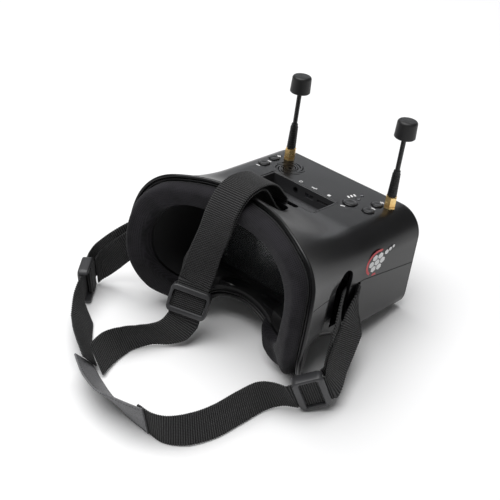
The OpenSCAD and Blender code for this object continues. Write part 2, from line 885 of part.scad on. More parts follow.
right_wrap = [
    hs([79.3, -61.5, side_mid_z], [0, 0, 1]),
    hs([77.6, -57.6, side_mid_z], [0, 0, 1]),
    hs([75, -56.5, side_mid_z], [0, 0, 1]),
    hs([72.5, -57.6, side_mid_z], [0, 0, 1]),
    hs([71.7, -60.5, side_mid_z], [0, 0, 1]),
    hs([71.8, -65.5, side_mid_z], [0, 0, 1]),
    hs([74.2, -72, side_mid_z], [0, 0, 1]),
    hs([77.6, -77.5, side_mid_z - 0.5], [0, -0.05, 1])];
right_inner = [
    [[81.6, -92.5, 43.5], [-0.05, -0.25, 0.96]],
    [[84.6, -100.5, 35.5], [-0.15, -0.55, 0.82]],
    [[88.6, -109.5, 28.8], [-0.2, -0.6, 0.77]]];

module strap_right() {
    color([0.05, 0.05, 0.05])
    in_rest()
        webbing(run(right_rear, right_straight, concat(right_outer, right_wrap, right_inner)),
                strap_w, strap_t);
}

// Left strap, the same build
left_rear = [
    [[-47, -215.8, 13], [0.12, -0.52, 0.85]],
    [[-59, -210, 12.8], [0.12, -0.52, 0.85]],
    [[-68, -204.5, 12.2], [0.08, -0.58, 0.81]],
    [[-78, -197.5, 10.8], [0, -0.65, 0.76]],
    [[-89, -189, 10.4], [-0.12, -0.66, 0.73]],
    [[-101.5, -179.5, 13.4], [-0.1, -0.35, 0.93]]];
left_straight = [
    [[-109.5, -171.8, 16.8], [0, 0, 1]],
    [[-127.5, -149.2, 16.8], [0, 0, 1]]];
left_outer = [
    [[-126, -144, 21], [-0.15, -0.1, 0.98]],
    [[-117, -139.5, 32], [-0.3, -0.35, 0.88]],
    [[-106, -134, 44.5], [-0.22, -0.3, 0.92]],
    [[-97, -122.5, 53], [-0.1, -0.1, 0.98]],
    [[-90.5, -104, 56], [-0.03, 0.05, 1]],
    [[-83.5, -82, 53], [0, 0.12, 0.99]]];
left_wrap = [for (s = right_wrap) [flip(s[0]), flip(s[1])]];
left_inner = [
    [[-86.8, -102, 52.3], [0, 0.1, 0.99]],
    [[-92.6, -120.5, 49.8], [-0.1, -0.1, 0.98]],
    [[-101, -131, 41], [-0.2, -0.3, 0.93]],
    [[-111.5, -136, 29.5], [-0.3, -0.3, 0.9]]];

module strap_left() {
    color([0.05, 0.05, 0.05])
    in_rest()
        webbing(run(left_rear, left_straight, concat(left_outer, left_wrap, left_inner)),
                strap_w, strap_t);
}

// Top strap: rear patch, buckle, over the forehead, round the bar of the top slot, back inside
top_rear = [
    [[-45, -211.5, 12.6], [-0.62, 0.1, 0.77]],
    [[-48.5, -197, 12.3], [-0.5, 0.03, 0.86]],
    [[-46, -182, 12.5], [-0.15, -0.2, 0.97]],
    [[-39.5, -170, 12.4], [-0.22, -0.41, 0.88]],
    [[-31, -161, 12.8], [-0.5, -0.4, 0.77]],
    [[-25.5, -152.5, 14.6], [-0.7, -0.35, 0.6]]];
top_straight = [
    [[-23.5, -144.5, 20.5], [-0.84, -0.36, 0.4]],
    [[-23, -131.5, 49], [-0.84, -0.36, 0.4]]];
top_outer = [
    [[-20.5, -128, 61.5], [-0.82, -0.5, 0.2]],
    [[-15.3, -125.6, 80], [-0.9, -0.4, 0.02]],
    [[-9.3, -122.9, 98], [-0.96, -0.26, 0.03]],
    [[-6, -118.8, 114.9], [-0.98, -0.14, 0.05]],
    [[-4, -110.4, 126.9], [-0.98, -0.13, 0.05]],
    [[-4.5, -98, 129.4], [-0.98, -0.15, 0.06]],
    [[-7, -83, 124.9], [-0.98, -0.12, 0.06]],
    [[-8.3, -71.5, 118], [-0.99, -0.05, 0.05]]];
top_wrap = [
    hs([-8.5, -65.5, 8], [-1, 0, 0]),
    hs([-8.5, -62, 4.5], [-1, 0, 0]),
    hs([-8.5, -61.1, 0.5], [-1, 0, 0]),
    hs([-8.5, -61.4, -2.6], [-1, 0, 0]),
    hs([-8.5, -63.8, -4.4], [-1, 0, 0]),
    hs([-8.5, -68.5, -3.6], [-1, 0, 0]),
    hs([-8.5, -73.5, 0.6], [-1, 0, 0]),
    hs([-8.3, -79, 7], [-1, -0.05, 0])];
top_inner = [
    [[-6.8, -86.5, 122.2], [-0.98, -0.12, 0.06]],
    [[-4.6, -98.5, 126.9], [-0.98, -0.15, 0.06]],
    [[-4.1, -109, 124.6], [-0.98, -0.13, 0.05]],
    [[-6.2, -116.6, 113.4], [-0.98, -0.14, 0.05]],
    [[-10, -120.8, 97.4], [-0.96, -0.26, 0.03]],
    [[-16.6, -123.3, 79.2], [-0.9, -0.4, 0.02]],
    [[-22, -125.6, 65], [-0.8, -0.5, 0.25]]];

module strap_top() {
    color([0.05, 0.05, 0.05])
    in_rest()
        webbing(run(top_rear, top_straight, concat(top_outer, top_wrap, top_inner)),
                strap_w, strap_t);
}

// ---------- buckles ----------

// A buckle sits on the straight stretch of its strap. Its own frame has x across the webbing,
// y along it towards the goggles and z outwards, with the webbing's middle at the origin.
rail_w = 2.6;
end_w = 4.6;
buckle_l = 23;
rail_low = -5.2;
rail_high = 3.2;
bar_gap = strap_t / 2 + 0.35;
wrap_t = 1.3;
bar_half = 1.1;
bar_mid = -(bar_gap + wrap_t + bar_half);

module in_buckle(straight, outward) {
    y = unit(straight[1][0] - straight[0][0]);
    a = straight[0][1];
    x0 = unit(a - (a * y) * y);
    z0 = cross(x0, y);
    sign = z0 * outward > 0 ? 1 : -1;
    x = sign * x0;
    z = sign * z0;
    c = (straight[0][0] + straight[1][0]) / 2;
    yaw = atan2(x[1], x[0]);
    pitch = -asin(x[2]);
    ux = [-sin(yaw), cos(yaw), 0];
    uz = cross(x, ux);
    roll = atan2(y * uz, y * ux);
    translate(c)
        rotate([0, 0, yaw])
            rotate([0, pitch, 0])
                rotate([roll, 0, 0])
                    children();
}

module rounded_bar(length, r) {
    rotate([0, 90, 0])
        cylinder(r = r, h = length, center = true, $fn = 24);
}

module tri_glide() {
    inside = strap_w + 1.2;
    for (side = [-1, 1])
        translate([side * (inside + rail_w) / 2, 0, (rail_low + rail_high) / 2])
            cube([rail_w, buckle_l, rail_high - rail_low], center = true);
    for (side = [-1, 1])
        translate([0, side * (buckle_l - end_w) / 2, (bar_gap + rail_high) / 2])
            cube([inside + 0.2, end_w, rail_high - bar_gap], center = true);
    translate([0, 0, bar_mid])
        rounded_bar(inside + 0.2, bar_half);
}

// The end of the webbing, sewn round the middle bar, with its tail lying along the inner run
module sewn_end(tail) {
    r = bar_half + 0.02;
    difference() {
        union() {
            rounded_bar_at(bar_mid, strap_w, r + wrap_t);
            translate([0, tail / 2, bar_mid - r - wrap_t / 2])
                cube([strap_w, tail, wrap_t], center = true);
        }
        rounded_bar_at(bar_mid, strap_w + 2, r);
    }
}

module rounded_bar_at(z, length, r) {
    translate([0, 0, z])
        rounded_bar(length, r);
}

right_out = [1, -0.3, 0];
left_out = [-1, -0.5, 0];
top_out = [0, -1, 0.2];

module buckle_right() {
    color([0.15, 0.15, 0.16])
    in_rest() in_buckle(right_straight, right_out) tri_glide();
}

module buckle_left() {
    color([0.15, 0.15, 0.16])
    in_rest() in_buckle(left_straight, left_out) tri_glide();
}

module buckle_top() {
    color([0.15, 0.15, 0.16])
    in_rest() in_buckle(top_straight, top_out) tri_glide();
}

module strap_end_right() {
    color([0.05, 0.05, 0.05])
    in_rest() in_buckle(right_straight, right_out) sewn_end(13);
}

module strap_end_left() {
    color([0.05, 0.05, 0.05])
    in_rest() in_buckle(left_straight, left_out) sewn_end(13);
}

module strap_end_top() {
    color([0.05, 0.05, 0.05])
    in_rest() in_buckle(top_straight, top_out) sewn_end(13);
}

// ---------- rear patch ----------

patch_stations = [
    [[-51, -218.3, 13.6], [0.1, -0.55, 0.82]],
    [[-42.5, -222, 13.3], [0.08, -0.58, 0.8]],
    [[-31, -226.3, 13], [0.05, -0.6, 0.78]],
    [[-14, -230.3, 13], [0.03, -0.58, 0.8]],
    [[7, -231.5, 14.3], [0.03, -0.35, 0.93]],
    [[28, -229.7, 15.3], [0.03, -0.15, 0.98]]];

module rear_patch() {
    color([0.2, 0.2, 0.21])
    in_rest()
        webbing(smooth_stations(patch_stations, 3), 29, 1.4);
}

upper_shell();
lower_shell();
front_cover();
face_plate();
light_hood();
hook_loop_strip();
face_foam();
lens_frame();
fresnel_lens();
display_frame();
display_panel();
main_board();
receiver_modules();
battery_pack();
speaker();
tact_switches();
light_pipes();
port_tray();
av_jack();
usb_port();
card_slot();
shell_screws();
lens_screws();
cover_screws();
channel_button();
band_button();
menu_button();
record_button();
power_button();
jack_left();
jack_right();
jack_nuts();
antenna_nut_left();
antenna_nut_right();
ferrule_left();
ferrule_right();
sleeve_left();
sleeve_right();
stem_left();
stem_right();
cap_left();
cap_right();
strap_right();
strap_left();
strap_top();
strap_end_right();
strap_end_left();
strap_end_top();
buckle_right();
buckle_left();
buckle_top();
rear_patch();
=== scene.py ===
"""Visual model of box-shaped video goggles: moulded housing, padded face rim, elastic head straps,
three strap glides and two mushroom antennas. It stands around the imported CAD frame, in metres."""

import math
import random

import bmesh
import bpy
from mathutils import Matrix, Vector, noise


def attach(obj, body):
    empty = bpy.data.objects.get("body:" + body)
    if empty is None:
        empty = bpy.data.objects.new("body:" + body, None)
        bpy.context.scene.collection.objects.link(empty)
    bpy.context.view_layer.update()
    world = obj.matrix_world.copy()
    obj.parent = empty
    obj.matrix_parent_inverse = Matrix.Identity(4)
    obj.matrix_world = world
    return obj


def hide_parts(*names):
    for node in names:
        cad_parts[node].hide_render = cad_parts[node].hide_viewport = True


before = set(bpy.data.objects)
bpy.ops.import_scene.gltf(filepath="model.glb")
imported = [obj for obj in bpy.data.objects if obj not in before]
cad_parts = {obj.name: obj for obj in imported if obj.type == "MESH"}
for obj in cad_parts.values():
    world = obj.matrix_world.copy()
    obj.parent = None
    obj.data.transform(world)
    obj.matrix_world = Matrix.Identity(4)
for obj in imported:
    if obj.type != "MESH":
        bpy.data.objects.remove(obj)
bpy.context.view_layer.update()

MM = 0.001
scene = bpy.context.scene
random.seed(4)

# ---------- driving dimensions, in millimetres ----------

HOUSING_W = 151.0
HOUSING_H = 84.8
FRONT_Y = 15.7
FLARE_Y = 50.0
WALL = 2.4
TOP_R = 21.0
BOTTOM_R = 15.0
RIM_Y = 98.0
BELLY_RISE = 10.0
BELLY_ROUND = 11.0
BELLY_SPAN = (0.05, 0.75)
LOBE_SPAN = (0.87, 0.945)
PARTING_Z = -42.0
PARTING_FALL = 0.12
TOP_DENT = {"depth": 3.6, "centre": (-4.5, -84), "radii": (21, 10)}
SIDE_DENT = {"depth": 2.6, "centre": (-46, -83), "radii": (21, 15)}
LEAN = math.radians(10.53)
PAD_T = 11.0
STRIP_T = 1.5
LENS_W = 118.0
LENS_Y = 61.0
ANTENNA_LEFT_X = 46.4
ANTENNA_RIGHT_X = 53.6
STRAP_W = 25.0
STRAP_T = 1.5
ORIGIN = Vector((-10.4, -109.75, 0))

HALF_W = HOUSING_W / 2
LIFT = FRONT_Y * math.sin(LEAN) + HOUSING_H * math.cos(LEAN)
LAST = 18
PARTING = 7
TURNED_FACES = 48


# ---------- frames ----------

def housing_direction(v, lift=0.0):
    c, s = math.cos(LEAN), math.sin(LEAN)
    return Vector((v[0], v[1] * c + v[2] * s, -v[1] * s + v[2] * c + lift))


def from_housing(p):
    """Housing frame (x right, y forward, z up from the flat top) to the row frame."""
    return housing_direction(p, LIFT) - ORIGIN


def from_rest(p):
    """The straps' stations are written from the housing's front lower edge."""
    return Vector(p) - ORIGIN


# ---------- curves ----------

def spline(a, b, c, d, t):
    return 0.5 * (2 * b + (c - a) * t + (2 * a - 5 * b + 4 * c - d) * t * t
                  + (3 * b - a - 3 * c + d) * t ** 3)


def mirrored(p):
    return Vector((-p[0], p[1], p[2]))


def wrapped(u):
    """u counts knots along the ring: 0 is the top middle, positive to the right, +-18 the bottom."""
    return (u + LAST) % (2 * LAST) - LAST


def with_neighbours(right_half):
    """The knots of a ring's right half, with the next knot of the left half before and after."""
    return [mirrored(right_half[1]), *map(Vector, right_half), mirrored(right_half[-2])]


def through_knots(knots, u):
    """Point u of the smooth ring through the knots."""
    u = wrapped(u)
    i = min(int(abs(u)), LAST - 1)
    p = spline(*knots[i:i + 4], abs(u) - i)
    return mirrored(p) if u < 0 else p


def parting_z(y):
    return PARTING_Z + PARTING_FALL * (FRONT_Y - y)


def rounded_box(u, y, w, zt, zb, rt, rb):
    """Point u of the box outline: flat top, true arc, side, true arc, flat bottom."""
    u = wrapped(u)
    side, u = (-1 if u < 0 else 1), abs(u)
    if u <= 3:
        x, z = (w - rt) * u / 3, zt
    elif u <= 6:
        a = math.radians(30 * (u - 3))
        x, z = w - rt + rt * math.sin(a), zt - rt + rt * math.cos(a)
    elif u <= 9:
        heights = [zt - rt, parting_z(y), (parting_z(y) + zb + rb) / 2, zb + rb]
        i = min(int(u), 8)
        x, z = w, mix(heights[i - 6], heights[i - 5], u - i)
    elif u <= 12:
        a = math.radians(30 * (u - 9))
        x, z = w - rb + rb * math.cos(a), zb + rb - rb * math.sin(a)
    else:
        x, z = (w - rb) * (18 - u) / 6, zb
    return Vector((side * x, y, z))


RIM_KNOTS = with_neighbours([
    (0, -103, 18.5), (17, -104.5, 18.2), (33, -108, 17.3),
    (48, -113.5, 15.3), (64, -119, 10.8), (77, -121.5, 2), (85.3, -124.5, -10),
    (88.6, -127.8, -24.8), (89.4, -129.3, -42), (88.2, -128.5, -57), (84.5, -123.5, -74),
    (78.5, -114, -91), (70, -103, -102.1), (59, -98, -105.2), (47, -97, -104.2),
    (37.5, -96, -98.5), (31.5, -94, -90), (20, -91.5, -82), (0, -90, -78)])
OPENING_KNOTS = with_neighbours([
    (0, -104, -2.5), (14, -105, -2.8), (27, -107.5, -3.2),
    (39, -111, -4.5), (50, -115, -8), (59, -118.5, -14), (64.5, -121, -22),
    (67.5, -123, -31), (68, -124, -42), (66.5, -123, -53), (62.5, -119, -63),
    (56.5, -112, -71), (50, -104, -77), (44, -99, -80), (38, -96.5, -80),
    (32, -94.5, -78), (25, -92, -75), (14, -90, -72), (0, -89.5, -70.5)])


def rim(u):
    return through_knots(RIM_KNOTS, u)


def opening(u):
    return through_knots(OPENING_KNOTS, u)


def mix(a, b, t):
    return a + (b - a) * t


def smooth(low, high, x):
    t = min(max((x - low) / (high - low), 0), 1)
    return t * t * (3 - 2 * t)


def dent(x, y, depth, centre, radii):
    """Depth of a strap's hollow: full in the middle of a superellipse, falling smoothly to 0 at its edge."""
    d = (abs((x - centre[0]) / radii[0]) ** 3 + abs((y - centre[1]) / radii[1]) ** 3) ** (1 / 3)
    return depth * smooth(-1.25, -0.65, -d)


def belly(t):
    """Height of the underside along the flare: it rises towards the face."""
    return -HOUSING_H + BELLY_RISE * smooth(*BELLY_SPAN, t)


def skin(u, v):
    """Outside of the housing. v runs 0..1 along the straight box and 1..2 along the flare."""
    if v <= 1:
        y = (FRONT_Y - WALL) * (1 - v) - FLARE_Y * v
        return rounded_box(u, y, HALF_W, 0, -HOUSING_H, TOP_R, BOTTOM_R)
    t = v - 1
    w = t * t
    rounder = smooth(*BELLY_SPAN, t)
    a = rounded_box(u, -FLARE_Y, HALF_W, 0, belly(t), TOP_R, BOTTOM_R + BELLY_ROUND * rounder)
    b = rim(u)
    lobe = smooth(8, 10, abs(wrapped(u))) * smooth(0, 6, a.z - b.z)
    drop = mix(w, smooth(*LOBE_SPAN, t), lobe)
    p = Vector((a.x + (b.x - a.x) * w, a.y + (b.y - a.y) * t, a.z + (b.z - a.z) * drop))
    if abs(u) < 3:
        p.z -= dent(p.x, p.y, **TOP_DENT)
    if 5 < abs(u) < 10:
        p.x -= math.copysign(dent(p.z, p.y, **SIDE_DENT), u)
    return p


def inward(outline, u):
    """Unit vector towards the middle of a ring, square to it in the xz-plane."""
    d = outline(u + 0.04) - outline(u - 0.04)
    return Vector((d.z, 0, -d.x)).normalized()


def inset(outline, distance):
    return lambda u: outline(u) + distance * inward(outline, u)


def steps(a, b, n):
    return [a + (b - a) * i / n for i in range(n + 1)]


def polar(centre, r, degrees):
    a = math.radians(degrees)
    return (centre[0] + r * math.cos(a), centre[1] + r * math.sin(a))


def ring(centre, r, side, up, n):
    """n points of a circle about centre in the plane of side and up."""
    return [centre + r * (math.cos(a) * side + math.sin(a) * up) for a in steps(0, 2 * math.pi, n)[:-1]]


# ---------- meshes ----------

def new_object(name, verts, faces, place, uvs=None):
    mesh = bpy.data.meshes.new(name)
    mesh.from_pydata([place(v) * MM for v in verts], [], faces)
    if uvs:
        layer = mesh.uv_layers.new(name="Cloth")
        for loop in mesh.loops:
            layer.data[loop.index].uv = uvs[loop.vertex_index]
    mesh.update()
    obj = bpy.data.objects.new(name, mesh)
    scene.collection.objects.link(obj)
    return obj


def rounded_shading(obj, degrees):
    mesh = obj.data
    mesh.polygons.foreach_set("use_smooth", [True] * len(mesh.polygons))
    mesh.set_sharp_from_angle(angle=math.radians(degrees))


def loft_faces(count, m, closed, strip_caps=False):
    """Faces over count sections of m points each; open ends get one cap each."""
    faces = []
    for j in range(count if closed else count - 1):
        k = (j + 1) % count
        for i in range(m):
            n = (i + 1) % m
            faces.append((j * m + i, j * m + n, k * m + n, k * m + i))
    end = (count - 1) * m
    if not closed and strip_caps:
        for i in range(m // 2 - 1):
            a, b, c, d = i, i + 1, m - 2 - i, m - 1 - i
            faces.append((a, d, c, b))
            faces.append((end + a, end + b, end + c, end + d))
    elif not closed:
        faces.append(tuple(range(m - 1, -1, -1)))
        faces.append(tuple(range(end, end + m)))
    return faces


def loft(name, sections, place, closed=False, strip_caps=False, uvs=None):
    """A solid through sections of equal length. Its normals are turned outwards."""
    verts = [p for s in sections for p in s]
    faces = loft_faces(len(sections), len(sections[0]), closed, strip_caps)
    obj = new_object(name, verts, faces, place, uvs)
    turn_outwards(obj)
    return obj


def turn_outwards(obj):
    bm = bmesh.new()
    bm.from_mesh(obj.data)
    bmesh.ops.recalc_face_normals(bm, faces=bm.faces)
    if bm.calc_volume(signed=True) < 0:
        bmesh.ops.reverse_faces(bm, faces=bm.faces)
    bm.to_mesh(obj.data)
    bm.free()


def joined(name, objs):
    """One object from several, with one mesh."""
    bm = bmesh.new()
    for o in objs:
        bm.from_mesh(o.data)
    mesh = bpy.data.meshes.new(name)
    bm.to_mesh(mesh)
    bm.free()
    for o in objs:
        bpy.data.objects.remove(o)
    obj = bpy.data.objects.new(name, mesh)
    scene.collection.objects.link(obj)
    return obj


def cut(obj, cutters, operation="DIFFERENCE"):
    """Take the cutters away from obj, or unite them with it."""
    tool = joined("tool", cutters)
    modifier = obj.modifiers.new("cut", "BOOLEAN")
    modifier.operation = operation
    modifier.solver = "EXACT"
    modifier.object = tool
    graph = bpy.context.evaluated_depsgraph_get()
    mesh = bpy.data.meshes.new_from_object(obj.evaluated_get(graph))
    obj.modifiers.clear()
    obj.data = mesh
    bpy.data.objects.remove(tool)


def rounded_rectangle(x0, x1, y0, y1, r, grow=0.0, n=5):
    """Outline of a rectangle with round corners, grown outwards by grow."""
    corners = [(x1 - r, y0 + r, -90), (x1 - r, y1 - r, 0), (x0 + r, y1 - r, 90), (x0 + r, y0 + r, 180)]
    return [polar((x, y), r + grow, a + 90 * k / n) for x, y, a in corners for k in range(n + 1)]


def circle(cx, cy, r, n=40):
    return [polar((cx, cy), r, 360 * k / n) for k in range(n)]


def prism_z(levels, place=from_housing, name="cutter"):
    """Solid through outlines in the xy-plane: levels is [(z, outline), ...]."""
    return loft(name, [[Vector((x, y, z)) for x, y in outline] for z, outline in levels], place)


def prism_x(levels, name="cutter"):
    """Solid through outlines in the yz-plane: levels is [(x, outline), ...]."""
    return loft(name, [[Vector((x, y, z)) for y, z in outline] for x, outline in levels], from_housing)


def prism_y(levels):
    """Solid through outlines in the xz-plane: levels is [(y, outline), ...]."""
    return loft("cutter", [[Vector((x, y, z)) for x, z in outline] for y, outline in levels], from_housing)


def funnel(depth, mouth, flare, outline):
    """Levels of a vertical cutter whose mouth at z=0 is broken by a small rounded chamfer."""
    return [(-depth, outline(0)), (-mouth, outline(0)), (-mouth * 0.3, outline(flare * 0.3)),
            (0, outline(flare)), (0.6, outline(flare + 0.9))]


def lathe(name, profile, place):
    """Solid of revolution about z: profile is [(r, z), ...] from the axis back to the axis."""
    verts, faces = [], []
    for k in range(TURNED_FACES):
        verts += [Vector((*polar((0, 0), r, 360 * k / TURNED_FACES), z)) for r, z in profile]
    m = len(profile)
    for k in range(TURNED_FACES):
        j = (k + 1) % TURNED_FACES
        faces += [(k * m + i, j * m + i, j * m + i + 1, k * m + i + 1) for i in range(m - 1)]
    obj = new_object(name, verts, faces, place)
    bm = bmesh.new()
    bm.from_mesh(obj.data)
    bmesh.ops.remove_doubles(bm, verts=bm.verts, dist=1e-7)
    bm.to_mesh(obj.data)
    bm.free()
    turn_outwards(obj)
    return obj


# ---------- materials ----------

def fill(node, inputs):
    for key, value in inputs.items():
        node.inputs[key].default_value = value


class Nodes:
    """Short names for building a node material."""

    def __init__(self, name, color, roughness, metallic=0.0, specular=0.5):
        self.mat = bpy.data.materials.new(name)
        self.mat.use_nodes = True
        self.tree = self.mat.node_tree
        self.shader = self.tree.nodes["Principled BSDF"]
        fill(self.shader, {"Base Color": (*color, 1), "Roughness": roughness, "Metallic": metallic,
                           "Specular IOR Level": specular})
        self.mat.diffuse_color = (*color, 1)
        self.where = self.tree.nodes.new("ShaderNodeTexCoord")

    def add(self, kind, **values):
        node = self.tree.nodes.new(kind)
        for key, value in values.items():
            setattr(node, key, value)
        return node

    def link(self, a, b):
        self.tree.links.new(a, b)

    def noise(self, scale, detail=3.0, rough=0.5):
        n = self.add("ShaderNodeTexNoise")
        fill(n, {"Scale": scale, "Detail": detail, "Roughness": rough})
        self.link(self.where.outputs["Object"], n.inputs["Vector"])
        return n.outputs["Fac"]

    def cells(self, scale):
        n = self.add("ShaderNodeTexVoronoi")
        fill(n, {"Scale": scale})
        self.link(self.where.outputs["Object"], n.inputs["Vector"])
        return n.outputs["Distance"]

    def math(self, operation, a, b=None):
        n = self.add("ShaderNodeMath", operation=operation)
        for slot_index, value in enumerate((a, b)):
            if value is None:
                continue
            if isinstance(value, (int, float)):
                n.inputs[slot_index].default_value = value
            else:
                self.link(value, n.inputs[slot_index])
        return n.outputs[0]

    def plus(self, a, b, share):
        """a and a share of b."""
        return self.math("ADD", a, self.math("MULTIPLY", b, share))

    def wave(self, axis, period):
        """0..1 wave along the cloth's own width (0) or length (1), with its period in metres."""
        split = self.add("ShaderNodeSeparateXYZ")
        self.link(self.where.outputs["UV"], split.inputs[0])
        turned = self.math("MULTIPLY", split.outputs[axis], 2 * math.pi / period)
        return self.math("ADD", self.math("MULTIPLY", self.math("COSINE", turned), 0.5), 0.5)

    def colours(self, factor, dark, light, low=0.0, high=1.0):
        ramp = self.add("ShaderNodeValToRGB")
        for element, position, colour in zip(ramp.color_ramp.elements, (low, high), (dark, light)):
            element.position = position
            element.color = (*colour, 1)
        self.link(factor, ramp.inputs[0])
        self.link(ramp.outputs[0], self.shader.inputs["Base Color"])

    def rough(self, factor, low, high):
        span = self.add("ShaderNodeMapRange")
        fill(span, {"To Min": low, "To Max": high})
        self.link(factor, span.inputs["Value"])
        self.link(span.outputs[0], self.shader.inputs["Roughness"])

    def bump(self, height, distance):
        n = self.add("ShaderNodeBump")
        fill(n, {"Distance": distance, "Strength": 1.0})
        self.link(height, n.inputs["Height"])
        self.link(n.outputs[0], self.shader.inputs["Normal"])

    def sheen(self, weight, roughness):
        fill(self.shader, {"Sheen Weight": weight, "Sheen Roughness": roughness})


def moulded(name, dark, light, low, high, grain=1500, depth=0.00002, specular=0.5):
    """Moulded plastic: fine spark-eroded grain, slow changes of gloss and tone."""
    n = Nodes(name, light, high, specular=specular)
    n.colours(n.noise(28, 4), dark, light, 0.3, 0.7)
    n.rough(n.noise(45, 5, 0.6), low, high)
    n.bump(n.noise(grain, 2), depth)
    return n.mat


def knurled(name, dark, light):
    """Heat-shrink over a braid: a small diamond pattern, its raised ridges painted lighter as a painted
    highlight.
    """
    n = Nodes(name, light, 0.4)
    cells = n.cells(1100)
    # painted highlight: the base colour is lighter where the bump is raised, on the ridges
    n.colours(cells, dark, light, 0.1, 0.6)
    n.rough(n.noise(700, 3), 0.3, 0.5)
    n.bump(n.plus(cells, n.noise(1800, 2), 0.4), 0.0003)
    return n.mat


def brushed_metal(name, dark, light, low, high, metallic=1.0):
    n = Nodes(name, light, high, metallic=metallic)
    n.colours(n.noise(180, 4), dark, light, 0.3, 0.7)
    n.rough(n.noise(500, 3), low, high)
    n.bump(n.noise(2500, 2), 0.00001)
    return n.mat


def knitted(name, dark, light, rib, wale):
    """Elastic webbing: a rib for each weft cord and finer wales along the strap, with painted shade in the
    grooves between them and a painted highlight on their crests.
    """
    n = Nodes(name, light, 0.85, specular=0.3)
    ribs = n.wave(1, rib * MM)
    wales = n.wave(0, wale * MM)
    cells = n.math("MULTIPLY", ribs, n.math("ADD", n.math("MULTIPLY", wales, 0.6), 0.4))
    # painted light and shade: dark in the grooves between ribs and wales, light on their crests, plus random
    # tone
    tone_and_painted_shade = n.plus(n.math("MULTIPLY", cells, 0.75), n.noise(900, 4), 0.35)
    n.colours(tone_and_painted_shade, dark, light, 0.18, 0.8)
    n.rough(n.noise(1200, 3), 0.72, 0.95)
    n.bump(n.plus(cells, n.noise(4200, 3), 0.4), 0.0004)
    n.sheen(0.06, 0.5)
    return n.mat


def mesh_fabric(name, dark, light, pitch):
    """Spacer-mesh cover of the pad: rows of small round dimples, painted darker as shade inside them, in a
    soft purple-black knit.
    """
    n = Nodes(name, light, 0.9, specular=0.25)
    dots = n.math("MULTIPLY", n.wave(0, pitch * MM), n.wave(1, pitch * MM))
    # painted shade: the colour is darker in each dimple, mixed with random tone
    tone_and_painted_shade = n.plus(n.math("MULTIPLY", dots, -0.9), n.noise(60, 5, 0.6), 1.4)
    n.colours(tone_and_painted_shade, dark, light, 0.1, 0.7)
    n.rough(n.noise(1500, 3), 0.75, 1.0)
    n.bump(n.plus(n.math("MULTIPLY", dots, -1.0), n.noise(2600, 3), 0.5), 0.00025)
    n.sheen(0.06, 0.4)
    return n.mat


def grained_leather(name, dark, light):
    n = Nodes(name, light, 0.55)
    cells = n.cells(900)
    n.colours(n.plus(cells, n.noise(120, 4), 0.5), dark, light, 0.2, 0.8)
    n.rough(n.noise(300, 3), 0.42, 0.62)
    n.bump(n.math("ADD", cells, n.noise(2200, 3)), 0.00025)
    return n.mat


def fuzzy_loop(name, dark, light):
    n = Nodes(name, light, 1.0, specular=0.15)
    n.colours(n.noise(2400, 5, 0.75), dark, light, 0.35, 0.65)
    n.bump(n.noise(3200, 4, 0.7), 0.0006)
    n.sheen(0.12, 0.5)
    return n.mat


def board_finish():
    n = Nodes("board_green", (0.02, 0.13, 0.06), 0.35)
    n.colours(n.cells(420), (0.012, 0.09, 0.04), (0.03, 0.17, 0.08), 0.2, 0.6)
    n.bump(n.cells(420), 0.00005)
    return n.mat


def clear_moulding(name, tint, roughness, weight):
    n = Nodes(name, tint, roughness)
    fill(n.shader, {"Transmission Weight": weight, "IOR": 1.49})
    rings = n.add("ShaderNodeTexWave", wave_type="RINGS", rings_direction="Y")
    fill(rings, {"Scale": 300})
    n.link(n.where.outputs["Object"], rings.inputs["Vector"])
    n.bump(rings.outputs["Fac"], 0.00003)
    return n.mat


SHELL = moulded("satin_black", (0.0035, 0.0035, 0.004), (0.0055, 0.0055, 0.0062), 0.27, 0.34, specular=0.38)
# painted reflection: the port tray is lighter grey than the shell to show light on the recess floor
TRAY_PAINTED_REFLECTION = moulded("tray_painted_reflection", (0.02, 0.02, 0.0215), (0.034, 0.034, 0.036), 0.35, 0.45)
INNER = moulded("inner_black", (0.007, 0.007, 0.0075), (0.013, 0.013, 0.014), 0.5, 0.65)
BUTTON = moulded("button_black", (0.006, 0.006, 0.0065), (0.01, 0.01, 0.011), 0.3, 0.4)
BUCKLE = moulded("buckle_grey", (0.032, 0.032, 0.034), (0.052, 0.052, 0.056), 0.34, 0.44)
CAP = moulded("radome_black", (0.005, 0.005, 0.0057), (0.009, 0.009, 0.01), 0.42, 0.55,
              grain=900, depth=0.00004)
SLEEVE = knurled("sleeve_black", (0.004, 0.004, 0.0045), (0.016, 0.016, 0.017))
GOLD = brushed_metal("gilt_brass", (0.85, 0.52, 0.17), (1.0, 0.76, 0.36), 0.18, 0.32, metallic=0.72)
STEEL = brushed_metal("steel", (0.45, 0.45, 0.47), (0.62, 0.62, 0.64), 0.25, 0.4)
WEBBING = knitted("elastic_webbing", (0.0008, 0.0008, 0.0009), (0.07, 0.07, 0.071), 1.6, 1.25)
FOAM = mesh_fabric("pad_fabric", (0.002, 0.002, 0.0024), (0.019, 0.0175, 0.0215), 1.3)
PATCH = grained_leather("patch_grey", (0.045, 0.045, 0.047), (0.15, 0.15, 0.156))
VELCRO = fuzzy_loop("loop_grey", (0.006, 0.006, 0.0065), (0.035, 0.035, 0.037))
BOARD = board_finish()
WRAP = moulded("battery_wrap", (0.05, 0.07, 0.1), (0.08, 0.1, 0.14), 0.25, 0.4)
SCREEN = moulded("screen_glass", (0.006, 0.006, 0.009), (0.012, 0.012, 0.018), 0.05, 0.12)
LENS = clear_moulding("lens_acrylic", (0.9, 0.93, 0.95), 0.04, 0.95)
PIPE = clear_moulding("light_pipe", (0.05, 0.05, 0.055), 0.12, 0.3)
WHITE = moulded("white_ink", (0.68, 0.68, 0.68), (0.8, 0.8, 0.8), 0.5, 0.6)
RED = moulded("red_ink", (0.5, 0.03, 0.04), (0.65, 0.06, 0.07), 0.45, 0.55)
THREAD = moulded("thread_black", (0.02, 0.02, 0.02), (0.05, 0.05, 0.05), 0.8, 0.9)

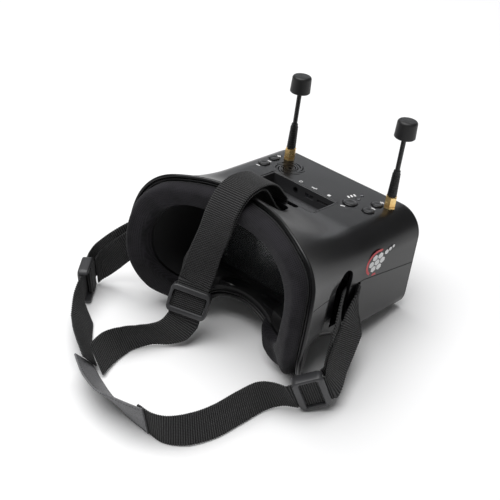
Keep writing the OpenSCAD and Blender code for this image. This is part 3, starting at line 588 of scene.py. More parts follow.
NODE_FINISH = [
    (INNER, ["lens_frame", "display_frame", "speaker"]), (LENS, ["fresnel_lens"]),
    (SCREEN, ["display_panel"]), (BOARD, ["main_board"]), (WRAP, ["battery_pack"]),
    (PIPE, ["light_pipes"]), (TRAY_PAINTED_REFLECTION, ["port_tray"]),
    (BUTTON, ["tact_switches", "av_jack"]),
    (STEEL, ["receiver_modules", "usb_port", "card_slot", "shell_screws", "lens_screws", "cover_screws"]),
    (GOLD, ["jack_left", "jack_right", "jack_nuts", "antenna_nut_left", "antenna_nut_right", "ferrule_left",
            "ferrule_right"]),
    (SLEEVE, ["sleeve_left", "sleeve_right", "stem_left", "stem_right"]), (CAP, ["cap_left", "cap_right"])]


def finish_cad_nodes():
    for material, names in NODE_FINISH:
        for name in names:
            for material_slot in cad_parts[name].material_slots:
                material_slot.material = material


def shown(obj, material, body="goggles", replaces=(), degrees=35):
    """The last step for every piece: material, smooth shading, its body and the nodes it stands for."""
    obj.data.materials.clear()
    obj.data.materials.append(material)
    rounded_shading(obj, degrees)
    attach(obj, body)
    if replaces:
        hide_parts(*replaces)


# ---------- camera, light and floor ----------

CAMERA_AT = Vector((408.3, -412.25, 517.1))
CAMERA_FORWARD = Vector((-0.5424, 0.5807, -0.6071)).normalized()
CAMERA_RIGHT = Vector((0.7306, 0.6828, 0.0004))
SENSOR_W = 36
FOCAL_LENGTH = 71.92


def make_camera():
    right = (CAMERA_RIGHT - CAMERA_RIGHT.dot(CAMERA_FORWARD) * CAMERA_FORWARD).normalized()
    up = right.cross(CAMERA_FORWARD)
    data = bpy.data.cameras.new("camera")
    data.sensor_width = SENSOR_W
    data.lens = FOCAL_LENGTH
    data.clip_start = 0.01
    cam = bpy.data.objects.new("camera", data)
    turn = Matrix((right, up, -CAMERA_FORWARD)).transposed()
    cam.matrix_world = Matrix.Translation(CAMERA_AT * MM) @ turn.to_4x4()
    scene.collection.objects.link(cam)
    scene.camera = cam


def area_light(name, position, target, size, power, tint=(1, 1, 1)):
    data = bpy.data.lights.new(name, "AREA")
    data.shape = "RECTANGLE"
    data.size, data.size_y = size
    data.energy = power
    data.color = tint
    lamp = bpy.data.objects.new(name, data)
    lamp.location = position
    lamp.visible_camera = False
    lamp.rotation_euler = (Vector(target) - Vector(position)).to_track_quat("-Z", "Y").to_euler()
    scene.collection.objects.link(lamp)


WORLD_STRENGTH = 0.18
OVERHEAD_POWER = 52
PANEL_POWER = 2.2
COOL = (0.94, 0.96, 1.0)
FLOOR_HALF = 4000


def make_studio():
    corners = [Vector((x * FLOOR_HALF, y * FLOOR_HALF, 0)) for x, y in ((-1, -1), (1, -1), (1, 1), (-1, 1))]
    floor = new_object("floor", corners, [(0, 1, 2, 3)], lambda p: p)
    paper = Nodes("paper", (0.9, 0.9, 0.9), 0.9, specular=0.2)
    paper.colours(paper.noise(3, 2), (0.89, 0.89, 0.895), (0.91, 0.91, 0.912))
    floor.data.materials.append(paper.mat)
    world = bpy.data.worlds.new("studio")
    world.use_nodes = True
    fill(world.node_tree.nodes["Background"], {"Color": (1, 1, 1, 1), "Strength": WORLD_STRENGTH})
    scene.world = world
    scene.view_settings.view_transform = "Standard"
    area_light("overhead", (-0.3, -0.1, 1.9), (0, 0, 0), (2.0, 2.0), OVERHEAD_POWER)
    area_light("back_panel", (-1.0, 1.35, 0.42), (0, 0, 0.1), (1.5, 0.2), PANEL_POWER, COOL)


# ---------- housing ----------

CHANNEL_AT = (-54.6, -9.6)
BAND_AT = (-52.6, -23.8)
MENU_AT = (45.5, -4.7)
RECORD_AT = (47.6, -18.8)
POWER_AT = (31.5, -20.1)
SMALL_D = 8.6
SMALL_BUTTONS = {"channel_button": CHANNEL_AT, "band_button": BAND_AT, "menu_button": MENU_AT,
                 "record_button": RECORD_AT}
BUTTONS = {name: (at, SMALL_D) for name, at in SMALL_BUTTONS.items()} | {"power_button": (POWER_AT, 10.6)}
BUTTON_GAP = 0.3
PIPE_HOLE_R = 1.45
PIPES = [(30.9, -9.3), (29.6, -2.3)]
GRILLE_AT = (-34.7, -12.7)
GRILLE_R = 12.5
RECESS_X = (-38, 25.5)
RECESS_Y = (-57.4, -28)
TOP_SLOT_X = (-22.5, 13.5)
FRONT_SLOT_Y = (-63.4, -58.9)
REAR_SLOT_Y = (-80, -69.5)
SIDE_SLOT_Z = (-62.5, -34.2)
SIDE_FRONT_Y = (-59.5, -54.6)
SIDE_REAR_Y = (-84, -68)
ARCH_R = 8
ARCH_Z = -26
SHELL_SCREWS = [(66, 5), (-66, 5), (64, -43), (-64, -43)]
COVER_SCREWS = [(-66, -12), (66, -12), (-66, -73), (66, -73)]
SCREW_HEAD_R = 2.3
THREAD_R = 3.175
EDGE_CHAMFER = 0.45

ALONG = steps(0, 1, 10) + steps(1, 2, 60)[1:]


def wall_section(u, extra):
    """Outer and inner points of the wall at ring place u; extra pulls the outside in at a parting edge."""
    outer, inner = [], []
    for v in ALONG:
        direction = inward(lambda w: skin(w, v), u)
        p = skin(u, v)
        outer.append(p + extra * direction)
        inner.append(p + WALL * direction)
    return outer + inner[::-1]


def shell_wall(name, us):
    """A shell over the ring places us. The parting edges at both ends have a fine chamfer."""
    places = [(us[0], EDGE_CHAMFER), (us[0] + 0.02, 0)] + [(u, 0) for u in us[1:-1]]
    places += [(us[-1] - 0.02, 0), (us[-1], EDGE_CHAMFER)]
    return loft(name, [wall_section(u, extra) for u, extra in places], from_housing, strip_caps=True)


def arch_outline(grow):
    """The strap arch in the side wall, in y and z: straight below, round on top."""
    y0, y1 = SIDE_REAR_Y
    middle = (y0 + y1) / 2
    top = [polar((middle, ARCH_Z), ARCH_R + grow, 15 * k) for k in range(13)]
    foot = SIDE_SLOT_Z[0] - grow
    return [(y1 + grow, foot)] + top + [(y0 - grow, foot)]


def side_slot_outline(grow):
    return rounded_rectangle(*SIDE_FRONT_Y, *SIDE_SLOT_Z, 1.6, grow)


def side_cutters(outline, depths):
    """Cutters through both side walls: depths is [(x, growth of the outline), ...]."""
    return [prism_x([(side * x, outline(grow)) for x, grow in depths]) for side in (-1, 1)]


ARCH_DEPTHS = [(62, 0), (73.5, 0), (76, 0.5), (78.5, 1.6), (82, 3.6), (92, 11)]
SIDE_SLOT_DEPTHS = [(66, 0), (75.2, 0), (76.2, 0.5), (80, 2.6)]


def swirl_arm(start, turn, r0, r1, width):
    """One curl of the speaker vent, an arc that winds outwards."""
    inner, outer = [], []
    for t in steps(0, 1, 14):
        r = mix(r0, r1, t)
        half = width / 2 * math.sin(math.pi * min(max(t, 0.08), 0.92)) ** 0.4
        inner.append(polar(GRILLE_AT, r - half, start + turn * t))
        outer.append(polar(GRILLE_AT, r + half, start + turn * t))
    return outer + inner[::-1]


def vent_cutters():
    arms = [swirl_arm(72 * k, 150, 3.2, 7.2, 1.0) for k in range(5)]
    arms += [swirl_arm(40 * k + 11, 62, 8.3, GRILLE_R - 0.6, 1.0) for k in range(9)]
    return [prism_z([(-WALL - 1, a), (0.4, a)]) for a in arms + [circle(*GRILLE_AT, 1.6, 20)]]


def top_cutters():
    holes = [(at, d / 2 + BUTTON_GAP, 0.5) for at, d in BUTTONS.values()]
    holes += [(at, PIPE_HOLE_R, 0.2) for at in PIPES]
    holes += [((x, 0), THREAD_R + 0.1, 0.3) for x in (-ANTENNA_LEFT_X, ANTENNA_RIGHT_X)]
    cutters = [prism_z(funnel(8, 0.7, flare, lambda g, at=at, r=r: circle(*at, r + g)))
               for at, r, flare in holes]
    cutters.append(prism_z(funnel(9, 0.8, 0.6, lambda g: rounded_rectangle(*RECESS_X, *RECESS_Y, 1.6, g))))
    return cutters


def strap_slot_cutters():
    """The top strap dives through the rear slot and comes back up through the front one."""
    def slot(y, r, levels):
        return prism_z([(z, rounded_rectangle(*TOP_SLOT_X, *y, r, grow)) for z, grow in levels])

    return [slot(FRONT_SLOT_Y, 1.4, [(-9, 0), (-0.2, 0), (0.9, 0.4), (2.6, 1.5)]),
            slot(REAR_SLOT_Y, 4.6, [(-9, 0), (0.2, 0), (2.2, 0.5), (4.6, 1.6), (9, 4.5)])]


def upper_shell():
    shell = shell_wall("upper_shell_moulding", steps(-PARTING, PARTING, 132))
    cut(shell, top_cutters())
    cut(shell, strap_slot_cutters())
    cut(shell, vent_cutters())
    cut(shell, side_cutters(arch_outline, ARCH_DEPTHS))
    shown(shell, SHELL, replaces=["upper_shell"], degrees=28)


SCREW_WELL = [(-0.6, 1.1), (0.5, 0.3), (6, 0.3)]
COVER_WELL = [(-4, 0.2), (-0.5, 0.2), (0.3, 0.9)]
COVER_LEVELS = [(0.35, -WALL), (0, -WALL + 0.35), (0, -1.0), (0.3, -0.35), (1.0, 0), (4.2, 0), (4.5, -0.5),
                (5.2, -0.5), (5.5, 0)]


def lower_shell():
    shell = shell_wall("lower_shell_moulding", steps(PARTING, 2 * LAST - PARTING, 176))
    cut(shell, side_cutters(arch_outline, ARCH_DEPTHS))
    cut(shell, side_cutters(side_slot_outline, SIDE_SLOT_DEPTHS))
    cut(shell, [prism_z([(-HOUSING_H + z, circle(*at, SCREW_HEAD_R + gap)) for z, gap in SCREW_WELL])
                for at in SHELL_SCREWS])
    shown(shell, SHELL, replaces=["lower_shell"], degrees=28)


def front_cover():
    """A separate lid with a soft outer edge, a shallow step and four screw holes."""
    def outline(shrink, y):
        points = [rounded_box(u, 0, HALF_W - shrink, -shrink, -HOUSING_H + shrink, TOP_R - shrink,
                              BOTTOM_R - shrink) for u in steps(-LAST, LAST, 180)[:-1]]
        return [p + Vector((0, FRONT_Y + y, 0)) for p in points]

    lid = loft("front_lid", [outline(*level) for level in COVER_LEVELS], from_housing)
    cut(lid, [prism_y([(FRONT_Y + y, circle(*at, SCREW_HEAD_R + gap)) for y, gap in COVER_WELL])
              for at in COVER_SCREWS])
    shown(lid, SHELL, replaces=["front_cover"])


TO_FACE = Vector((0, -1, 0))
RIM_BEADS = [(1.35, 1.45, 0.3), (3.9, 0.8, 0.2)]


def rim_bead():
    """The rounded lip where the shell ends around the face, with a fine groove inside it."""
    beads = []
    for depth, r, rise in RIM_BEADS:
        sections = []
        for u in steps(-LAST, LAST, 288)[:-1]:
            across = inward(rim, u)
            sections.append(ring(rim(u) + depth * across + rise * TO_FACE, r, across, TO_FACE, 12))
        beads.append(loft("bead", sections, from_housing, closed=True))
    shown(joined("rim_lip", beads), SHELL, degrees=60)


# ---------- face side ----------

PLATE_OUTER = inset(rim, 0.6)
PAD_OUTER = inset(rim, 4.6)
PAD_END = 16
PLATE_Y = (2.5, 0.5)
MOUTH_FORWARD = 3.4
MOUTH_Z = (-14, -76.5)
MOUTH_MARGIN = 2.4
UNDERSIDE_GAP = 4.5
END_SPAN = 0.9
END_WIDTH = 0.72
END_HEIGHT = 0.12
CROWN_H = PAD_T * 0.955
STRIP_SHARE = (0.03, 0.6)


def run_lengths(points):
    """Distance travelled up to every point."""
    lengths = [0.0]
    for a, b in zip(points, points[1:]):
        lengths.append(lengths[-1] + (b - a).length)
    return lengths


def across_pad(u, share, height):
    return mix(PAD_OUTER(u), opening(u), share) + height * TO_FACE


def closed_tube(name, outer, inner):
    """A wall between rows of ring functions, all the way round."""
    rows = outer + inner[::-1]
    sections = [[row(u) for row in rows] for u in steps(-LAST, LAST, 216)[:-1]]
    return loft(name, sections, from_housing, closed=True)


def face_plate():
    def edge(u):
        band = (opening(u) - PLATE_OUTER(u)).length
        return mix(PLATE_OUTER(u), opening(u), max(0.06, 1.9 / band))

    def raised(row, y):
        return lambda u: row(u) + Vector((0, y, 0))

    plate = closed_tube("pad_plate", *[[raised(row, y) for y in PLATE_Y] for row in (edge, opening)])
    shown(plate, INNER, replaces=["face_plate"])


def light_hood():
    """The tunnel between the face opening and the lens, with a fine step where the lens frame sits."""
    def mouth(u):
        return rounded_box(u, -LENS_Y - MOUTH_FORWARD, LENS_W / 2 + MOUTH_MARGIN, *MOUTH_Z, 10, 12)

    def row(t, out):
        def at(u):
            near, far = mouth(u), opening(u) + Vector((0, PLATE_Y[0], 0))
            p = mix(near, far, t)
            if far.z < near.z:
                under = belly((-p.y - FLARE_Y) / (RIM_Y - FLARE_Y)) + UNDERSIDE_GAP
                p.z = mix(max(near.z, under), far.z, smooth(0.95, 1, t))
            return p - out * inward(mouth, u)
        return at

    shares = [0, 0.06, 0.2, 0.4, 0.6, 0.8, 0.95, 0.98, 1]
    outs = [1.6, 1.6, 1.6, 1.5, 1.5, 1.5, 1.5, 1.4, 1.4]
    hood = closed_tube("light_tunnel", [row(t, o) for t, o in zip(shares, outs)],
                       [row(t, -max(0, 0.5 - 8 * t)) for t in shares])
    shown(hood, INNER, replaces=["light_hood"])


PAD_PROFILE = [(1, 0), (1.0, 0.3), (0.98, 0.58), (0.92, 0.78), (0.8, 0.88), (0.6, 0.95), (0.42, 1.0),
               (0.27, 0.98), (0.15, 0.8), (0.08, 0.45), (0.05, 0)]


def pad_curve(n):
    """Share of the width and of the height, once over the crown, evenly by index."""
    pts = [Vector((*p, 0)) for p in PAD_PROFILE]
    pts = [pts[0]] + pts + [pts[-1]]
    out = []
    for k in range(n + 1):
        t = k / n * (len(PAD_PROFILE) - 1)
        i = min(int(t), len(PAD_PROFILE) - 2)
        out.append(spline(*pts[i:i + 4], t - i))
    return out


def face_foam():
    """The pad follows the rim as a horseshoe with rounded ends, crowned and slightly uneven."""
    low = STRIP_T + 0.4
    crown = pad_curve(22)
    us = steps(-PAD_END, PAD_END, 320)
    sections, uvs = [], []
    for u, travelled in zip(us, run_lengths([across_pad(u, 0.5, 0) for u in us])):
        to_end = min(u + PAD_END, PAD_END - u) / END_SPAN
        end = math.sqrt(max(0, 1 - (1 - min(to_end, 1)) ** 2))
        width = (opening(u) - PAD_OUTER(u)).length
        section = []
        for c in crown:
            share = 0.5 + (c.x - 0.5) * mix(END_WIDTH, 1, end)
            section.append(across_pad(u, share, low + CROWN_H * mix(END_HEIGHT, 1, end) * c.y))
            uvs.append((c.x * width * MM + c.y * 0.006, travelled * MM))
        for s in (0.3, 0.7):
            section.append(across_pad(u, s, low))
            uvs.append((s * width * MM, travelled * MM))
        sections.append(section)
    foam = loft("face_pad", sections, from_housing, uvs=uvs)
    for v in foam.data.vertices:
        wobble = noise.noise(v.co * 55) * 0.45 + noise.noise(v.co * 160) * 0.14
        v.co += housing_direction(TO_FACE) * wobble * MM
    shown(foam, FOAM, replaces=["face_foam"], degrees=60)


def hook_loop_strip():
    """The loop strip under the pad. Its visible outer edge is cut a little ragged."""
    us = steps(-PAD_END, PAD_END, 420)
    sections, uvs = [], []
    for u, length in zip(us, run_lengths([across_pad(u, 0.3, 0) for u in us])):
        ragged = STRIP_SHARE[0] + 0.012 * noise.noise(Vector((u * 5, 0, 0))) + random.uniform(-0.006, 0.006)
        section = [across_pad(u, STRIP_SHARE[1], 0.1), across_pad(u, STRIP_SHARE[1], STRIP_T),
                   across_pad(u, 0.16, STRIP_T + 0.2),
                   across_pad(u, ragged + 0.02, STRIP_T + 0.25), across_pad(u, ragged, STRIP_T * 0.5),
                   across_pad(u, ragged + 0.03, 0.1)]
        sections.append(section)
        uvs += [(k * 0.004, length * MM) for k in range(len(section))]
    strip = loft("loop_strip", sections, from_housing, uvs=uvs)
    shown(strip, VELCRO, replaces=["hook_loop_strip"], degrees=60)
    widths = [(opening(u) - PAD_OUTER(u)).length for u in steps(-PAD_END, PAD_END, 64)]


# ---------- straps ----------

def stations_of(rows):
    """Rows of x, y, z of the webbing's middle and of its direction across."""
    return [(Vector(row[:3]), Vector(row[3:])) for row in rows]


def through_slots(rows):
    """Stations given in the housing frame."""
    return [(from_housing(p) + ORIGIN, housing_direction(a)) for p, a in stations_of(rows)]


RIGHT_REAR = stations_of([
    (20, -226.5, 13.2, 0.03, -0.18, 0.98), (32, -227.2, 12.9, 0.03, -0.05, 1),
    (43, -223.5, 12.8, -0.02, 0.1, 1), (53.5, -212.5, 12.8, -0.2, 0.2, 0.96),
    (60.5, -196, 12.6, -0.3, 0.12, 0.94), (64, -175, 12.6, -0.33, 0.05, 0.94),
    (67.5, -158, 12.8, -0.3, -0.05, 0.95), (75, -149, 14, -0.25, -0.25, 0.94)])
RIGHT_STRAIGHT = stations_of([
    (84.8, -144.5, 14.4, -0.2, -0.34, 0.92), (104.2, -124.5, 22.8, -0.2, -0.34, 0.92)])
RIGHT_OUTER = stations_of([
    (103.4, -121.2, 26.4, -0.2, -0.5, 0.84), (98.4, -111.6, 29.8, -0.2, -0.62, 0.76),
    (92.8, -97.6, 33, -0.22, -0.72, 0.66), (87.6, -84, 37.2, -0.22, -0.74, 0.63),
    (82.4, -74, 42, -0.1, -0.5, 0.86), (79.7, -67.5, 47, 0, -0.15, 0.98)])
RIGHT_WRAP = through_slots([(x, y, -48.3, 0, 0, 1) for x, y in (
    (79.3, -61.5), (77.6, -57.6), (75, -56.5), (72.5, -57.6), (71.7, -60.5), (71.8, -65.5), (74.2, -72))]
    + [(77.6, -77.5, -48.8, 0, -0.05, 1)])
RIGHT_INNER = stations_of([
    (82.6, -91.5, 43, 0.02, -0.32, 0.95), (86.6, -98.8, 35.8, 0.08, -0.6, 0.79),
    (90.4, -106, 30.4, 0.02, -0.66, 0.75), (94.4, -112.4, 26.8, -0.08, -0.6, 0.8),
    (97.4, -117.4, 24.2, -0.2, -0.42, 0.88), (96.8, -121.8, 22, -0.2, -0.34, 0.92)])
LEFT_REAR = stations_of([
    (-47, -215.8, 13, 0.12, -0.52, 0.85), (-59, -210, 12.8, 0.12, -0.52, 0.85),
    (-68, -204.5, 12.2, 0.08, -0.58, 0.81), (-78, -197.5, 10.8, 0, -0.65, 0.76),
    (-89, -189, 10.4, -0.12, -0.66, 0.73), (-101.5, -179.5, 13.4, -0.1, -0.35, 0.93)])
LEFT_STRAIGHT = stations_of([
    (-109.5, -171.8, 16.8, 0, 0, 1), (-127.5, -149.2, 16.8, 0, 0, 1)])
LEFT_OUTER = stations_of([
    (-126, -144, 21, -0.15, -0.1, 0.98), (-117, -139.5, 32, -0.3, -0.35, 0.88),
    (-106, -134, 44.5, -0.22, -0.3, 0.92), (-97, -122.5, 53, -0.1, -0.1, 0.98),
    (-90.5, -104, 56, -0.03, 0.05, 1), (-83.5, -82, 53, 0, 0.12, 0.99)])
LEFT_WRAP = [(mirrored(p), mirrored(a)) for p, a in RIGHT_WRAP]
LEFT_INNER = stations_of([
    (-86.8, -102, 52.3, 0, 0.1, 0.99), (-92.6, -120.5, 49.8, -0.1, -0.1, 0.98),
    (-101, -131, 41, -0.2, -0.3, 0.93), (-111.5, -136.4, 29.5, -0.3, -0.3, 0.9),
    (-117.4, -139.9, 22.2, -0.2, -0.2, 0.96), (-120.4, -143.8, 18.2, -0.05, -0.05, 1),
    (-120, -147.4, 17, 0, 0, 1)])
TOP_REAR = stations_of([
    (-45, -211.5, 12.6, -0.62, 0.1, 0.77), (-48.5, -197, 12.3, -0.5, 0.03, 0.86),
    (-46, -182, 12.5, -0.15, -0.2, 0.97), (-39.5, -170, 12.4, -0.22, -0.41, 0.88),
    (-31, -161, 12.8, -0.5, -0.4, 0.77), (-25.5, -152.5, 14.6, -0.7, -0.35, 0.6)])
TOP_STRAIGHT = stations_of([
    (-23.5, -144.5, 20.5, -0.84, -0.36, 0.4), (-23, -131.5, 49, -0.84, -0.36, 0.4)])
TOP_OUTER = stations_of([
    (-20.5, -128, 61.5, -0.82, -0.5, 0.2), (-15.3, -125.6, 80, -0.9, -0.4, 0.02),
    (-9.3, -122.9, 98, -0.96, -0.26, 0.03), (-6, -118.8, 114.9, -0.98, -0.14, 0.05),
    (-4, -110.4, 126.9, -0.98, -0.13, 0.05), (-4.5, -98, 129.4, -0.98, -0.15, 0.06),
    (-7, -83, 124.9, -0.98, -0.12, 0.06), (-8.3, -71.5, 118, -0.99, -0.05, 0.05)])
TOP_WRAP = through_slots([(-8.5, y, z, -1, 0, 0) for y, z in (
    (-65.5, 8), (-62, 4.5), (-61.1, 0.5), (-61.4, -2.6), (-63.8, -4.4), (-68.5, -3.6), (-73.5, 0.6))]
    + [(-8.3, -79, 7, -1, -0.05, 0)])
TOP_INNER = stations_of([
    (-6.8, -86.5, 122.2, -0.98, -0.12, 0.06), (-4.6, -98.5, 126.9, -0.98, -0.15, 0.06),
    (-4.1, -109, 124.6, -0.98, -0.13, 0.05), (-6.2, -116.6, 113.4, -0.98, -0.14, 0.05),
    (-10, -120.8, 97.4, -0.96, -0.26, 0.03), (-16.6, -123.3, 79.2, -0.9, -0.4, 0.02),
    (-22, -125.6, 65, -0.8, -0.5, 0.25), (-25, -125.9, 55, -0.84, -0.42, 0.33),
    (-26.4, -127.3, 45.6, -0.84, -0.36, 0.4)])
PATCH_STATIONS = stations_of([
    (-51, -218.3, 13.6, 0.1, -0.55, 0.82), (-42.5, -222, 13.3, 0.08, -0.58, 0.8),
    (-31, -226.3, 13, 0.05, -0.6, 0.78), (-14, -230.3, 13, 0.03, -0.58, 0.8),
    (7, -231.5, 14.3, 0.03, -0.35, 0.93), (28, -229.7, 15.3, 0.03, -0.15, 0.98)])

FINE = 12
RIB = 1.6


def smooth_stations(rows, k=FINE):
    """k stations from each row to the next, on a curve through all of them."""
    out = []
    for i in range(len(rows) - 1):
        before, after = rows[max(i - 1, 0)], rows[min(i + 2, len(rows) - 1)]
        for j in range(k):
            t = j / k
            p = spline(before[0], rows[i][0], rows[i + 1][0], after[0], t)
            out.append((p, mix(rows[i][1].normalized(), rows[i + 1][1].normalized(), t).normalized()))
    return out + [rows[-1]]


def square_to(straight):
    """Direction across the flat stretch, square to its run."""
    y = (straight[1][0] - straight[0][0]).normalized()
    a = straight[0][1]
    return (a - a.dot(y) * y).normalized()


BAR_GAP = STRAP_T / 2 + 0.35
GLIDES = {"right": (RIGHT_STRAIGHT, (1, -0.3, 0)), "left": (LEFT_STRAIGHT, (-1, -0.5, 0)),
          "top": (TOP_STRAIGHT, (0, -1, 0.2))}


def strap_route(rear, straight, after):
    """Curves on both sides of the flat stretch that the glide runs along."""
    across = square_to(straight)
    middle = [(mix(straight[0][0], straight[1][0], t), across) for t in (0.04, 0.27, 0.5, 0.73, 0.96)]
    return smooth_stations(rear + [straight[0]]) + middle + smooth_stations([straight[1]] + after)


def evenly(route, pitch):
    """Stations at equal distances along the route, and its length."""
    places = run_lengths([p for p, across in route])
    count = max(2, round(places[-1] / pitch))
    out, i = [], 0
    for k in range(count + 1):
        s = places[-1] * k / count
        while i < len(route) - 2 and places[i + 1] < s:
            i += 1
        t = (s - places[i]) / max(places[i + 1] - places[i], 1e-6)
        out.append((mix(route[i][0], route[i + 1][0], t), mix(route[i][1], route[i + 1][1], t).normalized()))
    return out, places[-1]


def with_normals(stations):
    """Number, middle, direction across and normal of every station."""
    for k, (c, a) in enumerate(stations):
        before, after = stations[max(k - 1, 0)][0], stations[min(k + 1, len(stations) - 1)][0]
        yield k, c, a, (after - before).normalized().cross(a).normalized()


def both_faces(half):
    """The whole outline of a section of which only the upper half is written down."""
    return half + [(x, -z) for x, z in half[-2:0:-1]]


# Half section of the webbing: share of the half width, share of the half thickness
WEB_PROFILE = [(-1, 0), (-0.985, 0.75), (-0.93, 1.12), (-0.86, 1), (-0.43, 1), (0, 1), (0.43, 1), (0.86, 1),
               (0.93, 1.12), (0.985, 0.75), (1, 0)]


def webbing(name, route, thickness=STRAP_T, relief=0.3, place=from_rest):
    """Elastic webbing with a real rib for every weft cord and a thicker selvage."""
    stations, length = evenly(route, RIB / 4)
    sections, uvs = [], []
    profile = both_faces(WEB_PROFILE)
    for k, c, a, normal in with_normals(stations):
        wave = math.cos(math.pi / 2 * k)
        half = STRAP_W / 2 * (1 + 0.006 * wave)
        high = thickness / 2 * (1 - relief / 2 + relief * wave)
        s = length * k / (len(stations) - 1)
        sections.append([c + a * half * x + normal * high * z for x, z in profile])
        uvs += [(x * STRAP_W / 2 * MM, s * MM) for x, z in profile]
    return loft(name, sections, place, uvs=uvs), length


def make_straps():
    runs = {"right": (RIGHT_REAR, RIGHT_OUTER + RIGHT_WRAP + RIGHT_INNER),
            "left": (LEFT_REAR, LEFT_OUTER + LEFT_WRAP + LEFT_INNER),
            "top": (TOP_REAR, TOP_OUTER + TOP_WRAP + TOP_INNER)}
    for side, (rear, after) in runs.items():
        straight = GLIDES[side][0]
        obj, length = webbing(f"{side}_webbing", strap_route(rear, straight, after))
        shown(obj, WEBBING, replaces=[f"strap_{side}"], degrees=75)


# ---------- buckles ----------

RAIL_W = 2.6
END_W = 4.8
BUCKLE_L = 23
RAIL_LOW = -5.2
RAIL_HIGH = 3.2
BUCKLE_CORNER = 4.5
WRAP_T = 1.3
BAR_HALF = 1.1
BAR_MID = -(BAR_GAP + WRAP_T + BAR_HALF)
TAIL_L = 9.4
BUCKLE_INSIDE = (STRAP_W + 1.2) / 2
BUCKLE_LEVELS = [(RAIL_LOW, -0.9), (RAIL_LOW + 0.3, -0.3), (RAIL_LOW + 0.9, 0), (RAIL_HIGH - 1.5, 0),
                 (RAIL_HIGH - 0.8, -0.25), (RAIL_HIGH - 0.3, -0.7), (RAIL_HIGH, -1.4)]
WINDOW_LEVELS = [(RAIL_LOW - 4, 0), (RAIL_HIGH - 0.9, 0), (RAIL_HIGH - 0.3, 0.3), (RAIL_HIGH + 0.1, 0.8)]


def buckle_frame(straight, outward):
    """x across the webbing, y along it towards the goggles, z outwards, origin at the glide's middle."""
    y = (straight[1][0] - straight[0][0]).normalized()
    x = square_to(straight)
    if x.cross(y).dot(Vector(outward)) < 0:
        x = -x
    z = x.cross(y)
    middle = (straight[0][0] + straight[1][0]) / 2
    return lambda p: middle - ORIGIN + x * p[0] + y * p[1] + z * p[2]


def buckle(name, node, body, place):
    """A rounded frame: two side rails, two broad end bars over the webbing and the bar it is sewn round."""
    outside = BUCKLE_INSIDE + RAIL_W
    half = BUCKLE_L / 2

    def solid(x, y, r, levels, n=5, name="cutter"):
        return prism_z([(z, rounded_rectangle(-x, x, -y, y, r, grow, n)) for z, grow in levels], place, name)

    frame_part = solid(outside, half, BUCKLE_CORNER, BUCKLE_LEVELS, 8, name)
    cut(frame_part, [solid(BUCKLE_INSIDE, half - END_W, 1.4, WINDOW_LEVELS)])
    cut(frame_part, [solid(BUCKLE_INSIDE, half + 3, 0.5, [(RAIL_LOW - 4, 0), (BAR_GAP, 0)])])
    pin = loft("pin", [ring(Vector((x, 0, BAR_MID)), BAR_HALF, Vector((0, 1, 0)), Vector((0, 0, 1)), 16)
                       for x in (-BUCKLE_INSIDE - 1, BUCKLE_INSIDE + 1)], place)
    cut(frame_part, [pin], "UNION")
    shown(frame_part, BUCKLE, body, [node], degrees=40)


def strap_end(name, node, body, place):
    """The webbing's end: along the inner run, round the middle bar and back, with a raised end."""
    r = BAR_HALF + 0.02 + WRAP_T / 2
    low = BAR_MID - r
    path = [(y, low) for y in steps(TAIL_L, 0, 6)]
    path += [polar((0, BAR_MID), r, a) for a in range(255, 89, -15)]
    path += [(1.8, BAR_MID + r - 0.35), (3.6, BAR_MID + 0.2), (5.4, low + WRAP_T + 0.4),
             (7.2, low + WRAP_T + 0.05), (9, low + WRAP_T + 0.02)]
    route = [(Vector((0, y, z)), Vector((1, 0, 0))) for y, z in path]
    obj, length = webbing(name, smooth_stations(route, 4), thickness=WRAP_T - 0.1, relief=0.1, place=place)
    shown(obj, WEBBING, body, [node], degrees=75)


def make_buckles():
    for side, (straight, outward) in GLIDES.items():
        place = buckle_frame(straight, outward)
        buckle(f"{side}_glide", f"buckle_{side}", f"glide_{side}", place)
        strap_end(f"{side}_strap_end", f"strap_end_{side}", f"glide_{side}", place)


# ---------- rear patch ----------

STITCH_L = 1.6
THREAD_HALF = 0.22
PATCH_HALF_W = 14.5
PATCH_HALF_T = 0.7
STITCH_ROW_AT = 12.6
STITCH_RISE = 0.72
PATCH_PROFILE = [(-1, 0), (-0.985, 0.8), (-0.95, 1), (-0.5, 1), (0, 1), (0.5, 1), (0.95, 1), (0.985, 0.8),
                 (1, 0)]


def stitch_row(a, b, pitch):
    """Thread segments from a to b, in the rest frame."""
    direction = (b - a).normalized()
    side = direction.orthogonal().normalized()
    other = direction.cross(side)
    parts = []
    for k in range(int((b - a).length / pitch)):
        start = a + direction * pitch * (k + 0.2)
        rings = [ring(start + direction * STITCH_L * t, THREAD_HALF * grow, side, other, 6)
                 for t, grow in ((0, 0.4), (0.25, 1), (0.75, 1), (1, 0.4))]
        parts.append(loft("stitch", rings, from_rest))
    return parts


def rear_patch():
    """A grained patch joins the three straps; stitches run round its edge."""
    stations, length = evenly(smooth_stations(PATCH_STATIONS), 1.2)
    profile = both_faces(PATCH_PROFILE)
    sections, uvs, threads = [], [], []
    outer_rows = {-1: [], 1: []}
    for k, c, a, normal in with_normals(stations):
        sections.append([c + a * PATCH_HALF_W * x + normal * PATCH_HALF_T * z for x, z in profile])
        uvs += [(x * PATCH_HALF_W * MM, length * k / len(stations) * MM) for x, z in profile]
        for side, row in outer_rows.items():
            row.append((c + a * STITCH_ROW_AT * side, normal * STITCH_RISE))
    patch = loft("rear_patch_leather", sections, from_rest, uvs=uvs)
    shown(patch, PATCH, replaces=["rear_patch"], degrees=60)
    for row in outer_rows.values():
        for face in (-1, 1):
            for k in range(1, len(row) - 3, 2):
                a, b = [p + face * rise for p, rise in (row[k], row[k + 2])]
                threads += stitch_row(a, b, pitch=(b - a).length * 0.99)
    shown(joined("patch_stitches", threads), THREAD)


# ---------- buttons and marks ----------

def at_housing(x, y):
    return lambda p: from_housing((p[0] + x, p[1] + y, p[2]))


